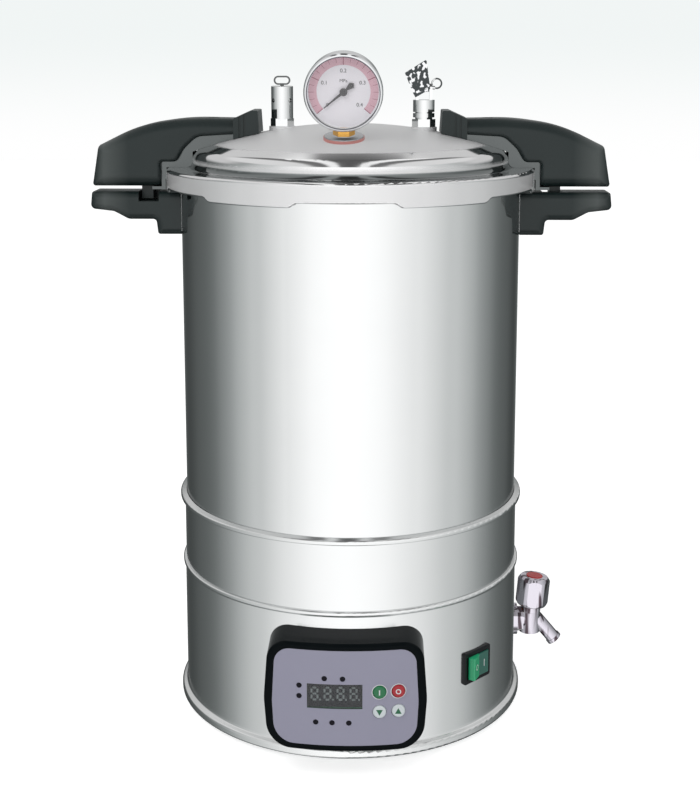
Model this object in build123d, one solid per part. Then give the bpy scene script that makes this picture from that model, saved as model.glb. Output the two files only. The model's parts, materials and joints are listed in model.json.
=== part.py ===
from build123d import *
from math import acos, asin, cos, degrees, hypot, radians, sin, sqrt
import os

# Portable autoclave: a deep steel pot on a heated base, closed by a lugged lid.
# Lengths are in millimetres, angles in degrees. The origin is on the pot's axis
# at the floor, +Z is up and -Y is the front, where the control box is.
# Azimuth 0 is the front and 90 is the right-hand side, towards +X.

# Clearances
weld_gap = 0.05
fit_gap = 0.06
loose_gap = 0.15
turn_gap = 0.3

# Vessel
chamber_radius = 140.0
chamber_depth = 373.0
pot_wall = 2.5
pot_floor = 3.0
pot_corner = 15.0
pot_underside_z = 80.0
pot_radius = chamber_radius + pot_wall
pot_floor_z = pot_underside_z + pot_floor
rim_z = pot_floor_z + chamber_depth

# Base shell, a drum with a band above it
sheet = 1.2
foot_height = 4.2
drum_radius = pot_radius + 2.1
drum_top_z = 125.6
drum_bore = drum_radius - sheet
drum_flange = 34.0
bead_radius = drum_radius + 4.9
bead_height = 6.8
drum_lip_radius = drum_radius + 1.8
band_radius = pot_radius + 1.5
band_top_z = 185.4
band_bead_radius = band_radius + 3.8
shell_gap = 0.4
plate_thickness = 1.5
plate_z = foot_height + sheet
plate_top = plate_z + plate_thickness
foot_ring_radius = bead_radius - 21.5
foot_radius = 11.0
foot_plug_radius = 3.1
base_screw_ring_radius = bead_radius - 19.5
base_screw_radius = 2.0
support_radius = chamber_radius - 26.0
support_sheet = 2.0
vent_hole_radius = 3.0
vent_rings = {50.0: 12, 90.0: 18}
wiring_window = ((-40.0, 40.0), (45.0, 100.0))

# Bayonet lock between pot and lid
lug_count = 6
lug_pitch = 360 / lug_count
lock_turn = lug_pitch / 2
pot_lug_angle = 26.0
lid_lug_angle = 30.5
pot_lug_thickness = 3.4
lid_lug_thickness = 3.0
lug_play = 0.6
lock_ring_radius = pot_radius + 2.9
pot_lug_radius = pot_radius + 9.0
pot_lug_z = rim_z - 9.4
lid_lug_top = pot_lug_z - lug_play
lid_bottom = lid_lug_top - lid_lug_thickness

# Lid, pressed from one sheet, and its seal
lid_sheet = 2.0
lid_radius = pot_lug_radius + 3.0
lid_lug_inner = lid_radius - 8.5
lid_notch_depth = 3.6
lid_notch_slope = 2.5
lid_notch_bend = 7.0
lid_hem = 1.4
shoulder_bend = 9.0
wall_foot_bend = 5.0
dome_radius = 2.8 * chamber_radius
disc_radius = chamber_radius - 7.5
shoulder_wall = 13.03
disc_height = shoulder_wall + dome_radius - sqrt(dome_radius ** 2 - disc_radius ** 2)
seal_height = 4.4
seal_inner = chamber_radius - 1.5
seal_outer = chamber_radius + 7.0
flange_top = rim_z + seal_height + lid_sheet
crest_z = flange_top + disc_height
dome_centre_z = crest_z - dome_radius
pad_radius = 11.0
pad_rise = 2.3

# Handles, one pair on the pot and one pair on the lid
handle_reach = lid_radius + 63.0
handle_width = 38.0
handle_end_rounding = 0.29 * handle_width
lower_handle_top = lid_bottom - 1.0
upper_handle_bottom = lid_bottom + 3.4
lower_handle_height = 36.1
handle_crown_z = crest_z + 5.4
grip_inner_x = disc_radius - 35.5
cap_inner_x = grip_inner_x - 23.5
cap_rise = 6.0
bracket_width = 26.0
bracket_sheet = 2.0
key_inner = lid_radius + 12.5
key_outer = key_inner + 9.5
foot_tab_x = key_inner - 0.6
key_half_width = 5.0
key_depth = 11.0
handle_screw_radius = 2.5
handle_screw_head = 4.75
upper_screw_x = grip_inner_x + 18.0
lower_screw_x = pot_radius + 11.5
tongue_z = lower_handle_top - 12.0
tongue_reach = handle_reach - 27.5
tongue_sheet = 3.0
bracket_leg_x = lid_radius + 3.8
bracket_back = [
    (grip_inner_x, crest_z - 8.5), (disc_radius - 4.5, crest_z - 10.3, 14),
    (disc_radius + 6.5, crest_z - 20.5, 20), (disc_radius + 12.5, flange_top + 4.7, 6),
]

# Pressure gauge, square to the dome at the front
gauge_x = -3.2
gauge_y = -79.0
gauge_rise = 38.8
gauge_case_radius = 29.6
gauge_bezel_radius = 30.8
gauge_depth = 22.0
gauge_front = 11.6
gauge_zero_angle = 220.0
pointer_length = 20.0
pointer_tail = 10.6
gauge_thread_radius = 6.0
gauge_hex = 15.0
gauge_washer_radius = 15.6
gauge_seal_radius = 16.2
gauge_seal_height = 1.9
gauge_lean = degrees(asin(-gauge_y / dome_radius))

# Safety valve on the left and vent valve on the right of the dome
safety_x = 16.1 - cap_inner_x
safety_radius = 9.2
safety_height = 27.0
safety_wall = 2.0
vent_x = cap_inner_x - 12.0
vent_radius = 9.0
vent_pin_radius = 1.5
valve_thread_radius = 5.0
valve_hex = 17.0
valve_hex_height = 6.5
vent_pin_height = valve_hex_height + 26.0
spring_turns = 8
spring_radius = 5.2
spring_wire = 0.55

# Control box on the front of the drum
box_depth = 31.4
box_front = drum_radius + box_depth
box_face_radius = 210.0
box_wall = 2.5
box_top_z = 112.0
box_bottom_z = 24.6
box_half_width = 63.4
box_widest_z = 64.0
box_edge_rounding = 3.4
panel_half_width = 56.6
panel_top_z = 107.4
panel_bottom_z = 30.4
panel_thickness = 0.95
panel_proud = 0.25
button_radius = 5.1
button_proud = 1.6
button_travel = 0.6
button_places = {
    "start_button": (26.5, 74.0),
    "stop_button": (41.0, 74.0),
    "down_button": (26.5, 58.0),
    "up_button": (41.0, 58.0),
}
lamp_radius = 2.0
lamp_places = [
    (-15.8, 85.0), (-1.8, 85.0),
    (-35.3, 78.4), (-35.3, 69.8),
    (-22.5, 49.2), (-9.9, 49.2), (3.0, 49.2),
]
window_x = -7.9
window_z = 70.5
window_width = 42.6
window_height = 19.8
digit_count = 4
digit_width = 4.6
digit_height = 9.8
digit_pitch = 10.0
digit_bar = 1.5
digit_bar_gap = 0.2
board_front = box_front - 18.0
board_thickness = 1.6
board_half_width = 50.0
board_bottom_z = 36.0
board_top_z = 103.0

# Rocker switch on the drum, right of the control box
rocker_azimuth = 46.8
rocker_z = pot_underside_z - 17.2
rocker_bezel_width = 32.5
rocker_bezel_height = 27.0
rocker_body_width = 29.0
rocker_body_height = 21.6
rocker_body_depth = 20.0
rocker_wall = 1.2
rocker_proud = 1.8
rocker_tilt = 11.0
rocker_end_height = 7.0
rocker_half_length = rocker_body_width / 2 - rocker_wall - 1.5
rocker_pivot = drum_radius - 1.8
trunnion_radius = 1.2

# Drain tap on the right
drain_end_x = drum_radius - 16.6
drain_x = drain_end_x - 33.0
drain_pipe_radius = 6.0
drain_bore = 4.5
tap_z = pot_underside_z - 19.5
tap_thread_radius = 8.3
tap_barrel_x = drum_radius + 14.7
tap_barrel_radius = 9.0
tap_washer_radius = 13.6
tap_bore = 4.5
spout_angle = 50.0
spout_radius = 6.0
spout_bore = 4.0
spout_tip_x = tap_barrel_x + 22.4
spout_tip_z = tap_z - 18.6
knob_lean = 5.0
knob_radius = 14.2
knob_height = 26.0
knob_flats = 26.0
knob_bottom = 14.0
cap_radius = 7.2
spindle_radius = 3.5

# Inside the chamber
heater_loop_radius = chamber_radius - 45.0
heater_tube_radius = 4.0
heater_lift = 11.0
heater_leg_bend = 7.0
heater_leg_angle = 15.0
heater_leg_end_z = pot_underside_z - 22.0
heater_hole_radius = 5.4
heater_z = pot_floor_z + heater_lift
stand_lift = 23.0
stand_radius = chamber_radius - 10.0
stand_sheet = 1.5
stand_z = pot_floor_z + stand_lift
bucket_radius = chamber_radius - 18.0
bucket_height = 235.0
bucket_sheet = 1.0
bucket_bead_radius = bucket_radius + 3.4
bucket_floor_z = stand_z + stand_sheet + weld_gap
bucket_top_z = bucket_floor_z + bucket_height
bail_radius = chamber_radius - 10.0
bail_wire_radius = 2.0
bail_bend = 4.0
bail_pivot_z = bucket_top_z - 7.0
ear_outer = bail_radius - bail_bend - 0.1

# Mains inlet at the back
gland_z = 45.0
gland_thread_radius = 10.0
gland_hex = 24.0
gland_cap_length = 24.0
gland_reach = drum_radius + 6 + gland_cap_length
cable_radius = 4.7


# Shared helpers

def outline(corners):
    # Closed face in the XZ plane from (x, z) or (x, z, rounding radius) corners.
    points = [(c[0], c[1]) for c in corners]
    radii = [c[2] if len(c) > 2 else 0 for c in corners]
    if any(radii):
        edge = FilletPolyline(*points, radius=radii, close=True)
    else:
        edge = Polyline(*points, close=True)
    return Plane.XZ * make_face(edge)


def turned(corners):
    # Solid of revolution about Z from its half outline.
    return revolve(outline(corners), Axis.Z)


def slab(corners, width):
    # Outline made solid, half of the width to each side of the XZ plane.
    return extrude(outline(corners), amount=width / 2, both=True)


def forward(corners, reach):
    # Outline made solid from the XZ plane towards the front.
    return extrude(outline(corners), amount=reach)


def tube(outer, inner, low, high):
    return turned([(inner, low), (outer, low), (outer, high), (inner, high)])


def rod(radius, low, high):
    return Pos(0, 0, low) * Cylinder(radius, high - low, align=(Align.CENTER, Align.CENTER, Align.MIN))


def block(x_range, y_range, z_range):
    ranges = (x_range, y_range, z_range)
    size = [high - low for low, high in ranges]
    centre = [(high + low) / 2 for low, high in ranges]
    return Pos(*centre) * Box(*size)


def hexagon(flats, low, high):
    return Pos(0, 0, low) * extrude(RegularPolygon(flats / 2, 6, major_radius=False), amount=high - low)


def sector(inner, outer, low, high, azimuth, angle):
    # Part of a ring, centred on an azimuth.
    face = outline([(inner, low), (outer, low), (outer, high), (inner, high)])
    return Rot(0, 0, azimuth - 90 - angle / 2) * revolve(face, Axis.Z, revolution_arc=angle)


def bent_sheet(points, thickness):
    # Ring of bent sheet: its outer face runs through (radius, z, bend radius) points
    # and the sheet's thickness lies on the left of that run.
    offset = []
    for i, (x, z, bend) in enumerate(points):
        steps = []
        if i > 0:
            steps.append(Vector(x - points[i - 1][0], z - points[i - 1][1]).normalized())
        if i < len(points) - 1:
            steps.append(Vector(points[i + 1][0] - x, points[i + 1][1] - z).normalized())
        normals = [Vector(-step.Y, step.X) for step in steps]
        middle = (normals[0] + normals[-1]).normalized()
        shift = middle * (thickness / middle.dot(normals[0]))
        left_turn = steps[0].X * steps[-1].Y > steps[0].Y * steps[-1].X
        offset_bend = max(bend - thickness, 0) if left_turn else bend + thickness
        offset.append((x + shift.X, z + shift.Y, offset_bend if bend else 0))
    return turned(list(points) + offset[::-1])


def along_x(shape, z=0.0):
    # Turns a shape built up the Z axis to point towards +X.
    return Pos(0, 0, z) * Rot(0, 90, 0) * shape


def along_y(shape, z=0.0):
    # Turns a shape built up the Z axis to point towards +Y.
    return Pos(0, 0, z) * Rot(-90, 0, 0) * shape


def half_turn(shape):
    return Rot(0, 0, 180) * shape


def copies(shape, radius, count, first=0.0):
    # Copies of a shape, evenly spaced round the axis.
    return [Rot(0, 0, first + 360 * i / count) * Pos(radius, 0, 0) * shape for i in range(count)]


def group(shapes):
    return Compound(children=list(shapes))


def dome_height(radius):
    # Height of the lid's outer face at a distance from the axis.
    return dome_centre_z + sqrt(dome_radius ** 2 - radius ** 2)


# Base shell

def base_openings():
    # Holes for the feet's plugs and the screws, through the drum's rim and the plate.
    foot_hole = rod(foot_plug_radius + loose_gap, 0, plate_top + 1)
    screw_hole = rod(base_screw_radius + loose_gap, 0, plate_top + 1)
    return copies(foot_hole, foot_ring_radius, 4, 45) + copies(screw_hole, base_screw_ring_radius, 4)


def base_drum():
    bead_top = foot_height + bead_height
    drum = bent_sheet([
        (bead_radius - drum_flange, foot_height, 0), (bead_radius, foot_height, 2.4),
        (bead_radius, bead_top, 2.4), (drum_radius, bead_top + 1.8, 2.0),
        (drum_radius, drum_top_z - 4.2, 1.2), (drum_lip_radius, drum_top_z - 2.8, 1.2),
        (drum_lip_radius, drum_top_z, 1.4), (pot_radius + shell_gap, drum_top_z, 0),
    ], sheet)
    drum -= base_openings()
    inside, outside = drum_radius - 15, drum_radius + 5
    drum -= block(wiring_window[0], (-outside, -inside), wiring_window[1])
    half_width = rocker_body_width / 2 + loose_gap
    half_height = rocker_body_height / 2 + loose_gap
    switch_hole = block((-half_width, half_width), (-outside, -inside),
                        (rocker_z - half_height, rocker_z + half_height))
    drum -= Rot(0, 0, rocker_azimuth) * switch_hole
    drum -= along_x(rod(tap_thread_radius + loose_gap, inside, outside), tap_z)
    drum -= along_y(rod(gland_thread_radius + loose_gap, inside, outside), gland_z)
    return drum


def middle_band():
    return bent_sheet([
        (band_radius, drum_top_z + weld_gap, 0), (band_radius, band_top_z - 5.2, 0.8),
        (band_bead_radius, band_top_z - 4.6, 1.0), (band_bead_radius, band_top_z - 1.2, 1.6),
        (pot_radius + shell_gap, band_top_z, 0),
    ], sheet)


def base_plate():
    plate = rod(drum_bore - shell_gap, plate_z, plate_top)
    plate -= base_openings()
    for radius, count in vent_rings.items():
        plate -= copies(rod(vent_hole_radius, 0, plate_top + 1), radius, count)
    return plate


def rubber_feet():
    top = foot_height - weld_gap
    foot = turned([
        (0, 0), (foot_radius - 1.2, 0, 0.8), (foot_radius, top), (foot_plug_radius, top),
        (foot_plug_radius, plate_top + 2.5, 1.0), (0, plate_top + 2.5),
    ])
    return group(copies(foot, foot_ring_radius, 4, 45))


def base_screws():
    top = foot_height - weld_gap
    head = 2 * base_screw_radius
    screw = turned([
        (0, 2.0), (head, 2.0, 1.2), (head, top), (base_screw_radius, top),
        (base_screw_radius, plate_top + 5), (0, plate_top + 5),
    ])
    return group(copies(screw, base_screw_ring_radius, 4))


def support_ring():
    # Short cylinder that carries the pot on the base plate, with four windows.
    ring = tube(support_radius, support_radius - support_sheet, plate_top, pot_underside_z)
    window_top = pot_underside_z - 10
    window = slab([(-32, 20, 6), (32, 20, 6), (32, window_top, 6), (-32, window_top, 6)], 2 * support_radius + 10)
    return ring - [window, Rot(0, 0, 90) * window]


def thermostat():
    # Snap-disc cut-out held against the pot's underside, with two blades.
    top = pot_underside_z - weld_gap
    body = rod(8, top - 7, top) + rod(12, top - 1, top)
    for x in (-5, 5):
        body += block((x - 0.4, x + 0.4), (-3, 3), (top - 14, top - 6))
    return Pos(-55, 0, 0) * body


def terminal_block():
    body = block((-24, 24), (58, 76), (plate_top, plate_top + 15))
    for x in (-15, 0, 15):
        place = Pos(x, 67, plate_top)
        body -= place * rod(3.2, 9, 16)
        body += place * rod(2.6, 8.9, 11)
    return body


# Vessel

def heater_ends():
    # For each end of the heater, at the back: where its leg stands, where its bend
    # meets the loop, and the level direction from the leg to the loop.
    ends = []
    for side in (-1, 1):
        angle = radians(90 + side * heater_leg_angle)
        joint = Vector(heater_loop_radius * cos(angle), heater_loop_radius * sin(angle), heater_z)
        level = Vector(-sin(angle), cos(angle), 0) * side
        ends.append((joint - level * heater_leg_bend, joint, level))
    return ends


def chamber_pot():
    pot = turned([
        (0, pot_underside_z), (pot_radius, pot_underside_z, pot_corner),
        (pot_radius, rim_z, 0.8), (chamber_radius, rim_z, 0.8),
        (chamber_radius, pot_floor_z, pot_corner - pot_wall), (0, pot_floor_z),
    ])
    pot += tube(lock_ring_radius, chamber_radius + 1, pot_lug_z, rim_z - 0.6)
    for i in range(lug_count):
        pot += sector(lock_ring_radius - 1, pot_lug_radius, pot_lug_z, pot_lug_z + pot_lug_thickness,
                      lock_turn + i * lug_pitch, pot_lug_angle)
    low, high = pot_underside_z - 1, pot_floor_z + 1
    pot -= Pos(drain_x, 0, 0) * rod(drain_pipe_radius + weld_gap, low, high)
    for leg, joint, level in heater_ends():
        pot -= Pos(leg.X, leg.Y, 0) * rod(heater_hole_radius, low, high)
    return pot


def heating_element():
    # One loop of tube over the floor, its two ends bent down through it.
    edges = []
    for leg, joint, level in heater_ends():
        foot = leg - Vector(0, 0, heater_leg_bend)
        middle = joint - level * heater_leg_bend * sin(radians(45))
        middle -= Vector(0, 0, heater_leg_bend * (1 - sin(radians(45))))
        edges.append(Line(Vector(leg.X, leg.Y, heater_leg_end_z), foot))
        edges.append(ThreePointArc(foot, middle, joint))
    first = 90 + heater_leg_angle
    half_span = 180 - heater_leg_angle
    for start in (first, first + half_span):
        angles = [radians(start + half_span * share) for share in (0, 0.5, 1)]
        edges.append(ThreePointArc(*[
            (heater_loop_radius * cos(a), heater_loop_radius * sin(a), heater_z) for a in angles]))
    path = Wire([edge for piece in edges for edge in piece.edges()])
    foot = heater_ends()[0][0]
    section = Plane(origin=(foot.X, foot.Y, heater_leg_end_z), z_dir=(0, 0, 1)) * Circle(heater_tube_radius)
    element = sweep(section, path=path)
    for leg, joint, level in heater_ends():
        element += Pos(leg.X, leg.Y, 0) * rod(1.6, heater_leg_end_z - 9, heater_leg_end_z + 1)
    return element


def heater_fittings():
    # Threaded bushes that seal the heater's ends in the floor.
    low, high = pot_underside_z - 6, pot_floor_z + 3
    bush = rod(heater_hole_radius - weld_gap, low, high)
    bush += hexagon(15, low, pot_underside_z - weld_gap)
    bush += rod(7.2, pot_floor_z + weld_gap, high)
    bush -= rod(heater_tube_radius + weld_gap, low - 1, high + 1)
    return group(Pos(leg.X, leg.Y, 0) * bush for leg, joint, level in heater_ends())


def drain_pipe():
    # Pipe from the pot's floor to the tap's thread, with its coupling as a second solid.
    end_x = drain_end_x
    bend = 14.0
    path = FilletPolyline((drain_x, 0, pot_floor_z), (drain_x, 0, tap_z), (end_x, 0, tap_z), radius=bend)
    top = Plane(origin=(drain_x, 0, pot_floor_z), z_dir=(0, 0, -1))
    pipe = sweep(top * Circle(drain_pipe_radius), path=path) - sweep(top * Circle(drain_bore), path=path)
    coupling = along_x(hexagon(22, end_x - 8, end_x + 6), tap_z)
    coupling -= along_x(rod(drain_pipe_radius + weld_gap, end_x - 9, end_x + 1), tap_z)
    coupling -= along_x(rod(tap_thread_radius + weld_gap, end_x, end_x + 7), tap_z)
    return group([pipe, coupling])


def bucket_stand():
    # Perforated plate on three legs, over the water and the heater.
    top = stand_z + stand_sheet
    plate = rod(stand_radius, stand_z, top)
    for radius, count in {30.0: 6, 58.0: 12, 86.0: 18}.items():
        plate -= copies(rod(5, stand_z - 1, top + 1), radius, count)
    for leg in copies(rod(4, pot_floor_z, stand_z + stand_sheet / 2), stand_radius - 12, 3, 30):
        plate += leg
    return plate


def sterilizing_bucket():
    bucket = bent_sheet([
        (0, bucket_floor_z, 0), (bucket_radius, bucket_floor_z, 6.0),
        (bucket_radius, bucket_top_z - 4.0, 0.6), (bucket_bead_radius, bucket_top_z - 3.4, 1.2),
        (bucket_bead_radius, bucket_top_z, 1.4), (bucket_radius - 1.0, bucket_top_z, 0),
    ], bucket_sheet)
    ear = block((bucket_radius - 0.6, ear_outer), (-7, 7), (bail_pivot_z - 8, bail_pivot_z + 3.2))
    ear_hole = along_x(rod(bail_wire_radius + fit_gap, bucket_radius + 0.2, ear_outer + 1), bail_pivot_z)
    bucket += [ear, half_turn(ear)]
    bucket -= [ear_hole, half_turn(ear_hole)]
    for radius, count in {40.0: 8, 80.0: 16}.items():
        bucket -= copies(rod(2.5, bucket_floor_z - 1, bucket_floor_z + 2), radius, count)
    return bucket


def bail_drop_angle():
    # How far below level the bail hangs when its wire leans on the bucket's side.
    return degrees(acos((bucket_radius + bail_wire_radius + 0.8) / (bail_radius + bail_bend)))


def bucket_bail():
    # Hoop of wire, its ends turned in through the bucket's ears, hanging at the back.
    end_x = bucket_radius + 0.6
    edges = []
    for side in (1, -1):
        knee = Vector(side * (bail_radius - bail_bend), 0)
        shoulder = Vector(side * bail_radius, bail_bend)
        middle = Vector(side * (bail_radius - bail_bend * (1 - sin(radians(45)))),
                        bail_bend * (1 - cos(radians(45))))
        half = Vector(side * bail_radius * cos(radians(45)), bail_bend + bail_radius * sin(radians(45)))
        edges.append(Line(Vector(side * end_x, 0), knee))
        edges.append(ThreePointArc(knee, middle, shoulder))
        edges.append(ThreePointArc(shoulder, half, Vector(0, bail_bend + bail_radius)))
    path = Wire([edge for piece in edges for edge in piece.edges()])
    section = Plane(origin=(end_x, 0, 0), z_dir=(1, 0, 0)) * Circle(bail_wire_radius)
    hoop = sweep(section, path=path)
    return Pos(0, 0, bail_pivot_z) * Rot(-bail_drop_angle(), 0, 0) * hoop


# Lid

def lid():
    wall_top = dome_height(disc_radius)
    inner_radius = disc_radius - lid_sheet
    inner_top = dome_centre_z + sqrt((dome_radius - lid_sheet) ** 2 - inner_radius ** 2)
    skirt_inner = lid_radius - lid_sheet
    flange_under = flange_top - lid_sheet
    half_angle = asin(disc_radius / dome_radius) / 2
    inner_half_angle = asin(inner_radius / (dome_radius - lid_sheet)) / 2
    dome = ThreePointArc(
        (0, crest_z),
        (dome_radius * sin(half_angle), dome_centre_z + dome_radius * cos(half_angle)),
        (disc_radius, wall_top))
    rim = Polyline(
        (disc_radius, wall_top), (disc_radius, flange_top), (lid_radius, flange_top),
        (lid_radius, lid_bottom), (lid_lug_inner, lid_bottom), (lid_lug_inner, lid_lug_top),
        (skirt_inner, lid_lug_top), (skirt_inner, flange_under), (inner_radius, flange_under),
        (inner_radius, inner_top))
    inner_dome = ThreePointArc(
        (inner_radius, inner_top),
        ((dome_radius - lid_sheet) * sin(inner_half_angle),
         dome_centre_z + (dome_radius - lid_sheet) * cos(inner_half_angle)),
        (0, crest_z - lid_sheet))
    axis_line = Line((0, crest_z - lid_sheet), (0, crest_z))
    face = make_face([dome, rim, inner_dome, axis_line])
    bends = {
        (disc_radius, wall_top): shoulder_bend, (inner_radius, inner_top): shoulder_bend - lid_sheet,
        (disc_radius, flange_top): wall_foot_bend, (inner_radius, flange_under): wall_foot_bend + lid_sheet,
        (lid_radius, flange_top): 2.6, (skirt_inner, flange_under): 0.8,
    }
    for corner, bend in bends.items():
        face = fillet(face.vertices().sort_by_distance(corner)[0], bend)
    cover = revolve(Plane.XZ * face, Axis.Z)
    cover -= [Rot(0, 0, i * lug_pitch) * lid_notch() for i in range(lug_count)]
    hem = [e for e in cover.edges()
           if abs(hypot((e @ 0.5).X, (e @ 0.5).Y) - lid_radius) < 0.01
           and (e @ 0.5).Z < lid_bottom + lid_notch_depth + 0.1]
    cover = fillet(hem, lid_hem)
    for x in (safety_x, vent_x):
        cover += Pos(x, 0, 0) * rod(pad_radius, pad_bottom(x), pad_top(x))
        cover -= Pos(x, 0, 0) * rod(valve_thread_radius + fit_gap, pad_bottom(x) - 1, pad_top(x) + 1)
    cover -= gauge_place() * rod(gauge_thread_radius + fit_gap, -15, 8)
    return cover


def lid_notch():
    # Gap between two lugs, cut through the skirt at the front, its ends curving up.
    half = lid_radius * sin(radians((lug_pitch - lid_lug_angle) / 2))
    low, high = lid_bottom, lid_bottom + lid_notch_depth
    side = half + lid_notch_slope
    top = half - lid_notch_slope
    bend = lid_notch_bend
    return forward([
        (-half - 15, low - 5), (half + 15, low - 5), (half + 15, low), (side, low, bend), (top, high, bend),
        (-top, high, bend), (-side, low, bend), (-half - 15, low),
    ], lid_radius + 5)


def pad_top(x):
    # Flat seat for a valve, a little above the dome all round.
    return dome_height(abs(x) - pad_radius) + 0.5


def pad_bottom(x):
    return dome_height(abs(x) + pad_radius) - pad_rise


def lid_seal():
    low = rim_z + loose_gap
    high = rim_z + seal_height - loose_gap
    return turned([
        (seal_inner, low, 0.8), (seal_outer, low, 0.8), (seal_outer, high, 0.8), (seal_inner, high, 0.8),
    ])


def lid_filled(gap):
    # What the lid covers, as one solid grown by a gap, for shaping what lies on it.
    shape = turned([
        (0, lid_bottom - 20), (lid_radius + gap, lid_bottom - 20), (lid_radius + gap, flange_top + gap),
        (disc_radius + gap, flange_top + gap, wall_foot_bend + 0.4),
        (disc_radius + gap, crest_z + 5), (0, crest_z + 5),
    ])
    return shape & (Pos(0, 0, dome_centre_z) * Sphere(dome_radius + gap))


def lid_nuts():
    # Nuts under the dome that hold the gauge and both valves.
    nuts = []
    for x in (safety_x, vent_x):
        nut = hexagon(valve_hex, pad_bottom(x) - 5.5, pad_bottom(x) - weld_gap)
        nuts.append(Pos(x, 0, 0) * (nut - rod(valve_thread_radius + weld_gap, 0, crest_z)))
    gap = lid_sheet + 0.4
    nut = hexagon(valve_hex, -gap - 5, -gap) - rod(gauge_thread_radius + weld_gap, -15, 0)
    nuts.append(gauge_place() * nut)
    return group(nuts)


# Handles, modelled on the right; the left ones are the same pieces half a turn round

def lid_bracket():
    # Bent channel over the dome's shoulder and down the skirt, with a tab under the handle.
    tab_z = upper_handle_bottom - 0.1
    leg_inner = lid_radius + 0.5
    bracket = slab(bracket_back + [
        (bracket_leg_x, flange_top + 4.7, 2), (bracket_leg_x, tab_z), (foot_tab_x, tab_z),
        (foot_tab_x, tab_z - 2.4), (leg_inner, tab_z - 2.4), (leg_inner, flange_top - 10),
        (grip_inner_x, flange_top - 10),
    ], bracket_width)
    hollow = slab([
        (grip_inner_x - 1, crest_z - 10.5), (disc_radius - 5.5, crest_z - 12.3, 5),
        (disc_radius + 4.5, crest_z - 21.5, 5), (disc_radius + 10.5, flange_top + 2.7, 2),
        (leg_inner - 1, flange_top + 2.7), (leg_inner - 1, flange_top - 11),
        (grip_inner_x - 1, flange_top - 11),
    ], bracket_width - 2 * bracket_sheet)
    bracket -= hollow
    bracket -= lid_filled(weld_gap)
    return bracket - Pos(upper_screw_x, 0, 0) * rod(handle_screw_radius + fit_gap, flange_top, crest_z)


def upper_handle():
    wall = bracket_leg_x + 0.1
    back = [(x, z + 0.1, *bend) for x, z, *bend in bracket_back]
    crown = handle_crown_z
    span = handle_reach - grip_inner_x
    shoulder_x = handle_reach - 0.345 * span
    crown_x = handle_reach - 0.69 * span
    grip = slab([
        (wall, upper_handle_bottom), (handle_reach, upper_handle_bottom, 2),
        (handle_reach - 5.7, crown - 23.9, 5), (shoulder_x, crown - 6.0, span),
        (crown_x, crown, 1.5 * span), (grip_inner_x, crown - 0.7), *back, (wall, flange_top + 4.8, 2),
    ], handle_width)
    end_edges = [e for e in grip.edges() if e.center().X > handle_reach - 5 and e.length > 20]
    grip = fillet([e for e in end_edges if abs(e.center().Y) > handle_width / 2 - 1], handle_end_rounding)
    top_edges = [e for e in grip.edges()
                 if abs(e.center().Y) > handle_width / 2 - 0.1 and e.center().Z > crown - 15
                 and e.center().X > grip_inner_x + 1 and e.center().X < shoulder_x + 12]
    grip = fillet(top_edges, 3.5)
    key = block((key_inner, key_outer), (-key_half_width, key_half_width),
                (upper_handle_bottom - key_depth, upper_handle_bottom + 1))
    grip += key
    grip -= Pos(upper_screw_x, 0, 0) * rod(handle_screw_radius + fit_gap, flange_top, crown + 1)
    grip -= Pos(upper_screw_x, 0, 0) * rod(handle_screw_head + loose_gap, crown - 6, crown + 5)
    return grip


def handle_end_cap():
    # Grooved block that closes the handle's inner end over the dome.
    crown = handle_crown_z
    half = handle_width / 2 + 1
    shape = slab([
        (cap_inner_x, flange_top), (cap_inner_x + 3, crown + cap_rise, 1),
        (cap_inner_x + 9, crown + cap_rise, 3),
        (grip_inner_x - 0.05, crown - 0.6), (grip_inner_x - 0.05, flange_top),
    ], 2 * half)
    shape -= lid_filled(turn_gap)
    for x in (cap_inner_x + 14, cap_inner_x + 18):
        for side in (1, -1):
            near, far = sorted((side * (half - 1), side * (half + 1)))
            shape -= block((x - 0.9, x + 0.9), (near, far), (flange_top, crown + cap_rise))
    return shape


def upper_handle_screws():
    crown = handle_crown_z
    screw = rod(handle_screw_radius, crest_z - 13, crown - 5.9)
    screw += rod(handle_screw_head, crown - 5.95, crown - 2.6)
    screw -= hexagon(4, crown - 4.5, crown)
    screw = Pos(upper_screw_x, 0, 0) * screw
    return group([screw, half_turn(screw)])


def lower_bracket():
    # Plate welded to the pot, with a tongue that reaches into the handle.
    low = lower_handle_top - lower_handle_height + 3
    plate = sector(pot_radius + weld_gap, pot_radius + 3, low, lower_handle_top - 2, 90, 12)
    plate += block((pot_radius + 2, tongue_reach), (-9, 9), (tongue_z - tongue_sheet, tongue_z))
    return plate - Pos(lower_screw_x, 0, 0) * rod(handle_screw_radius + fit_gap, low, lower_handle_top)


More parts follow.
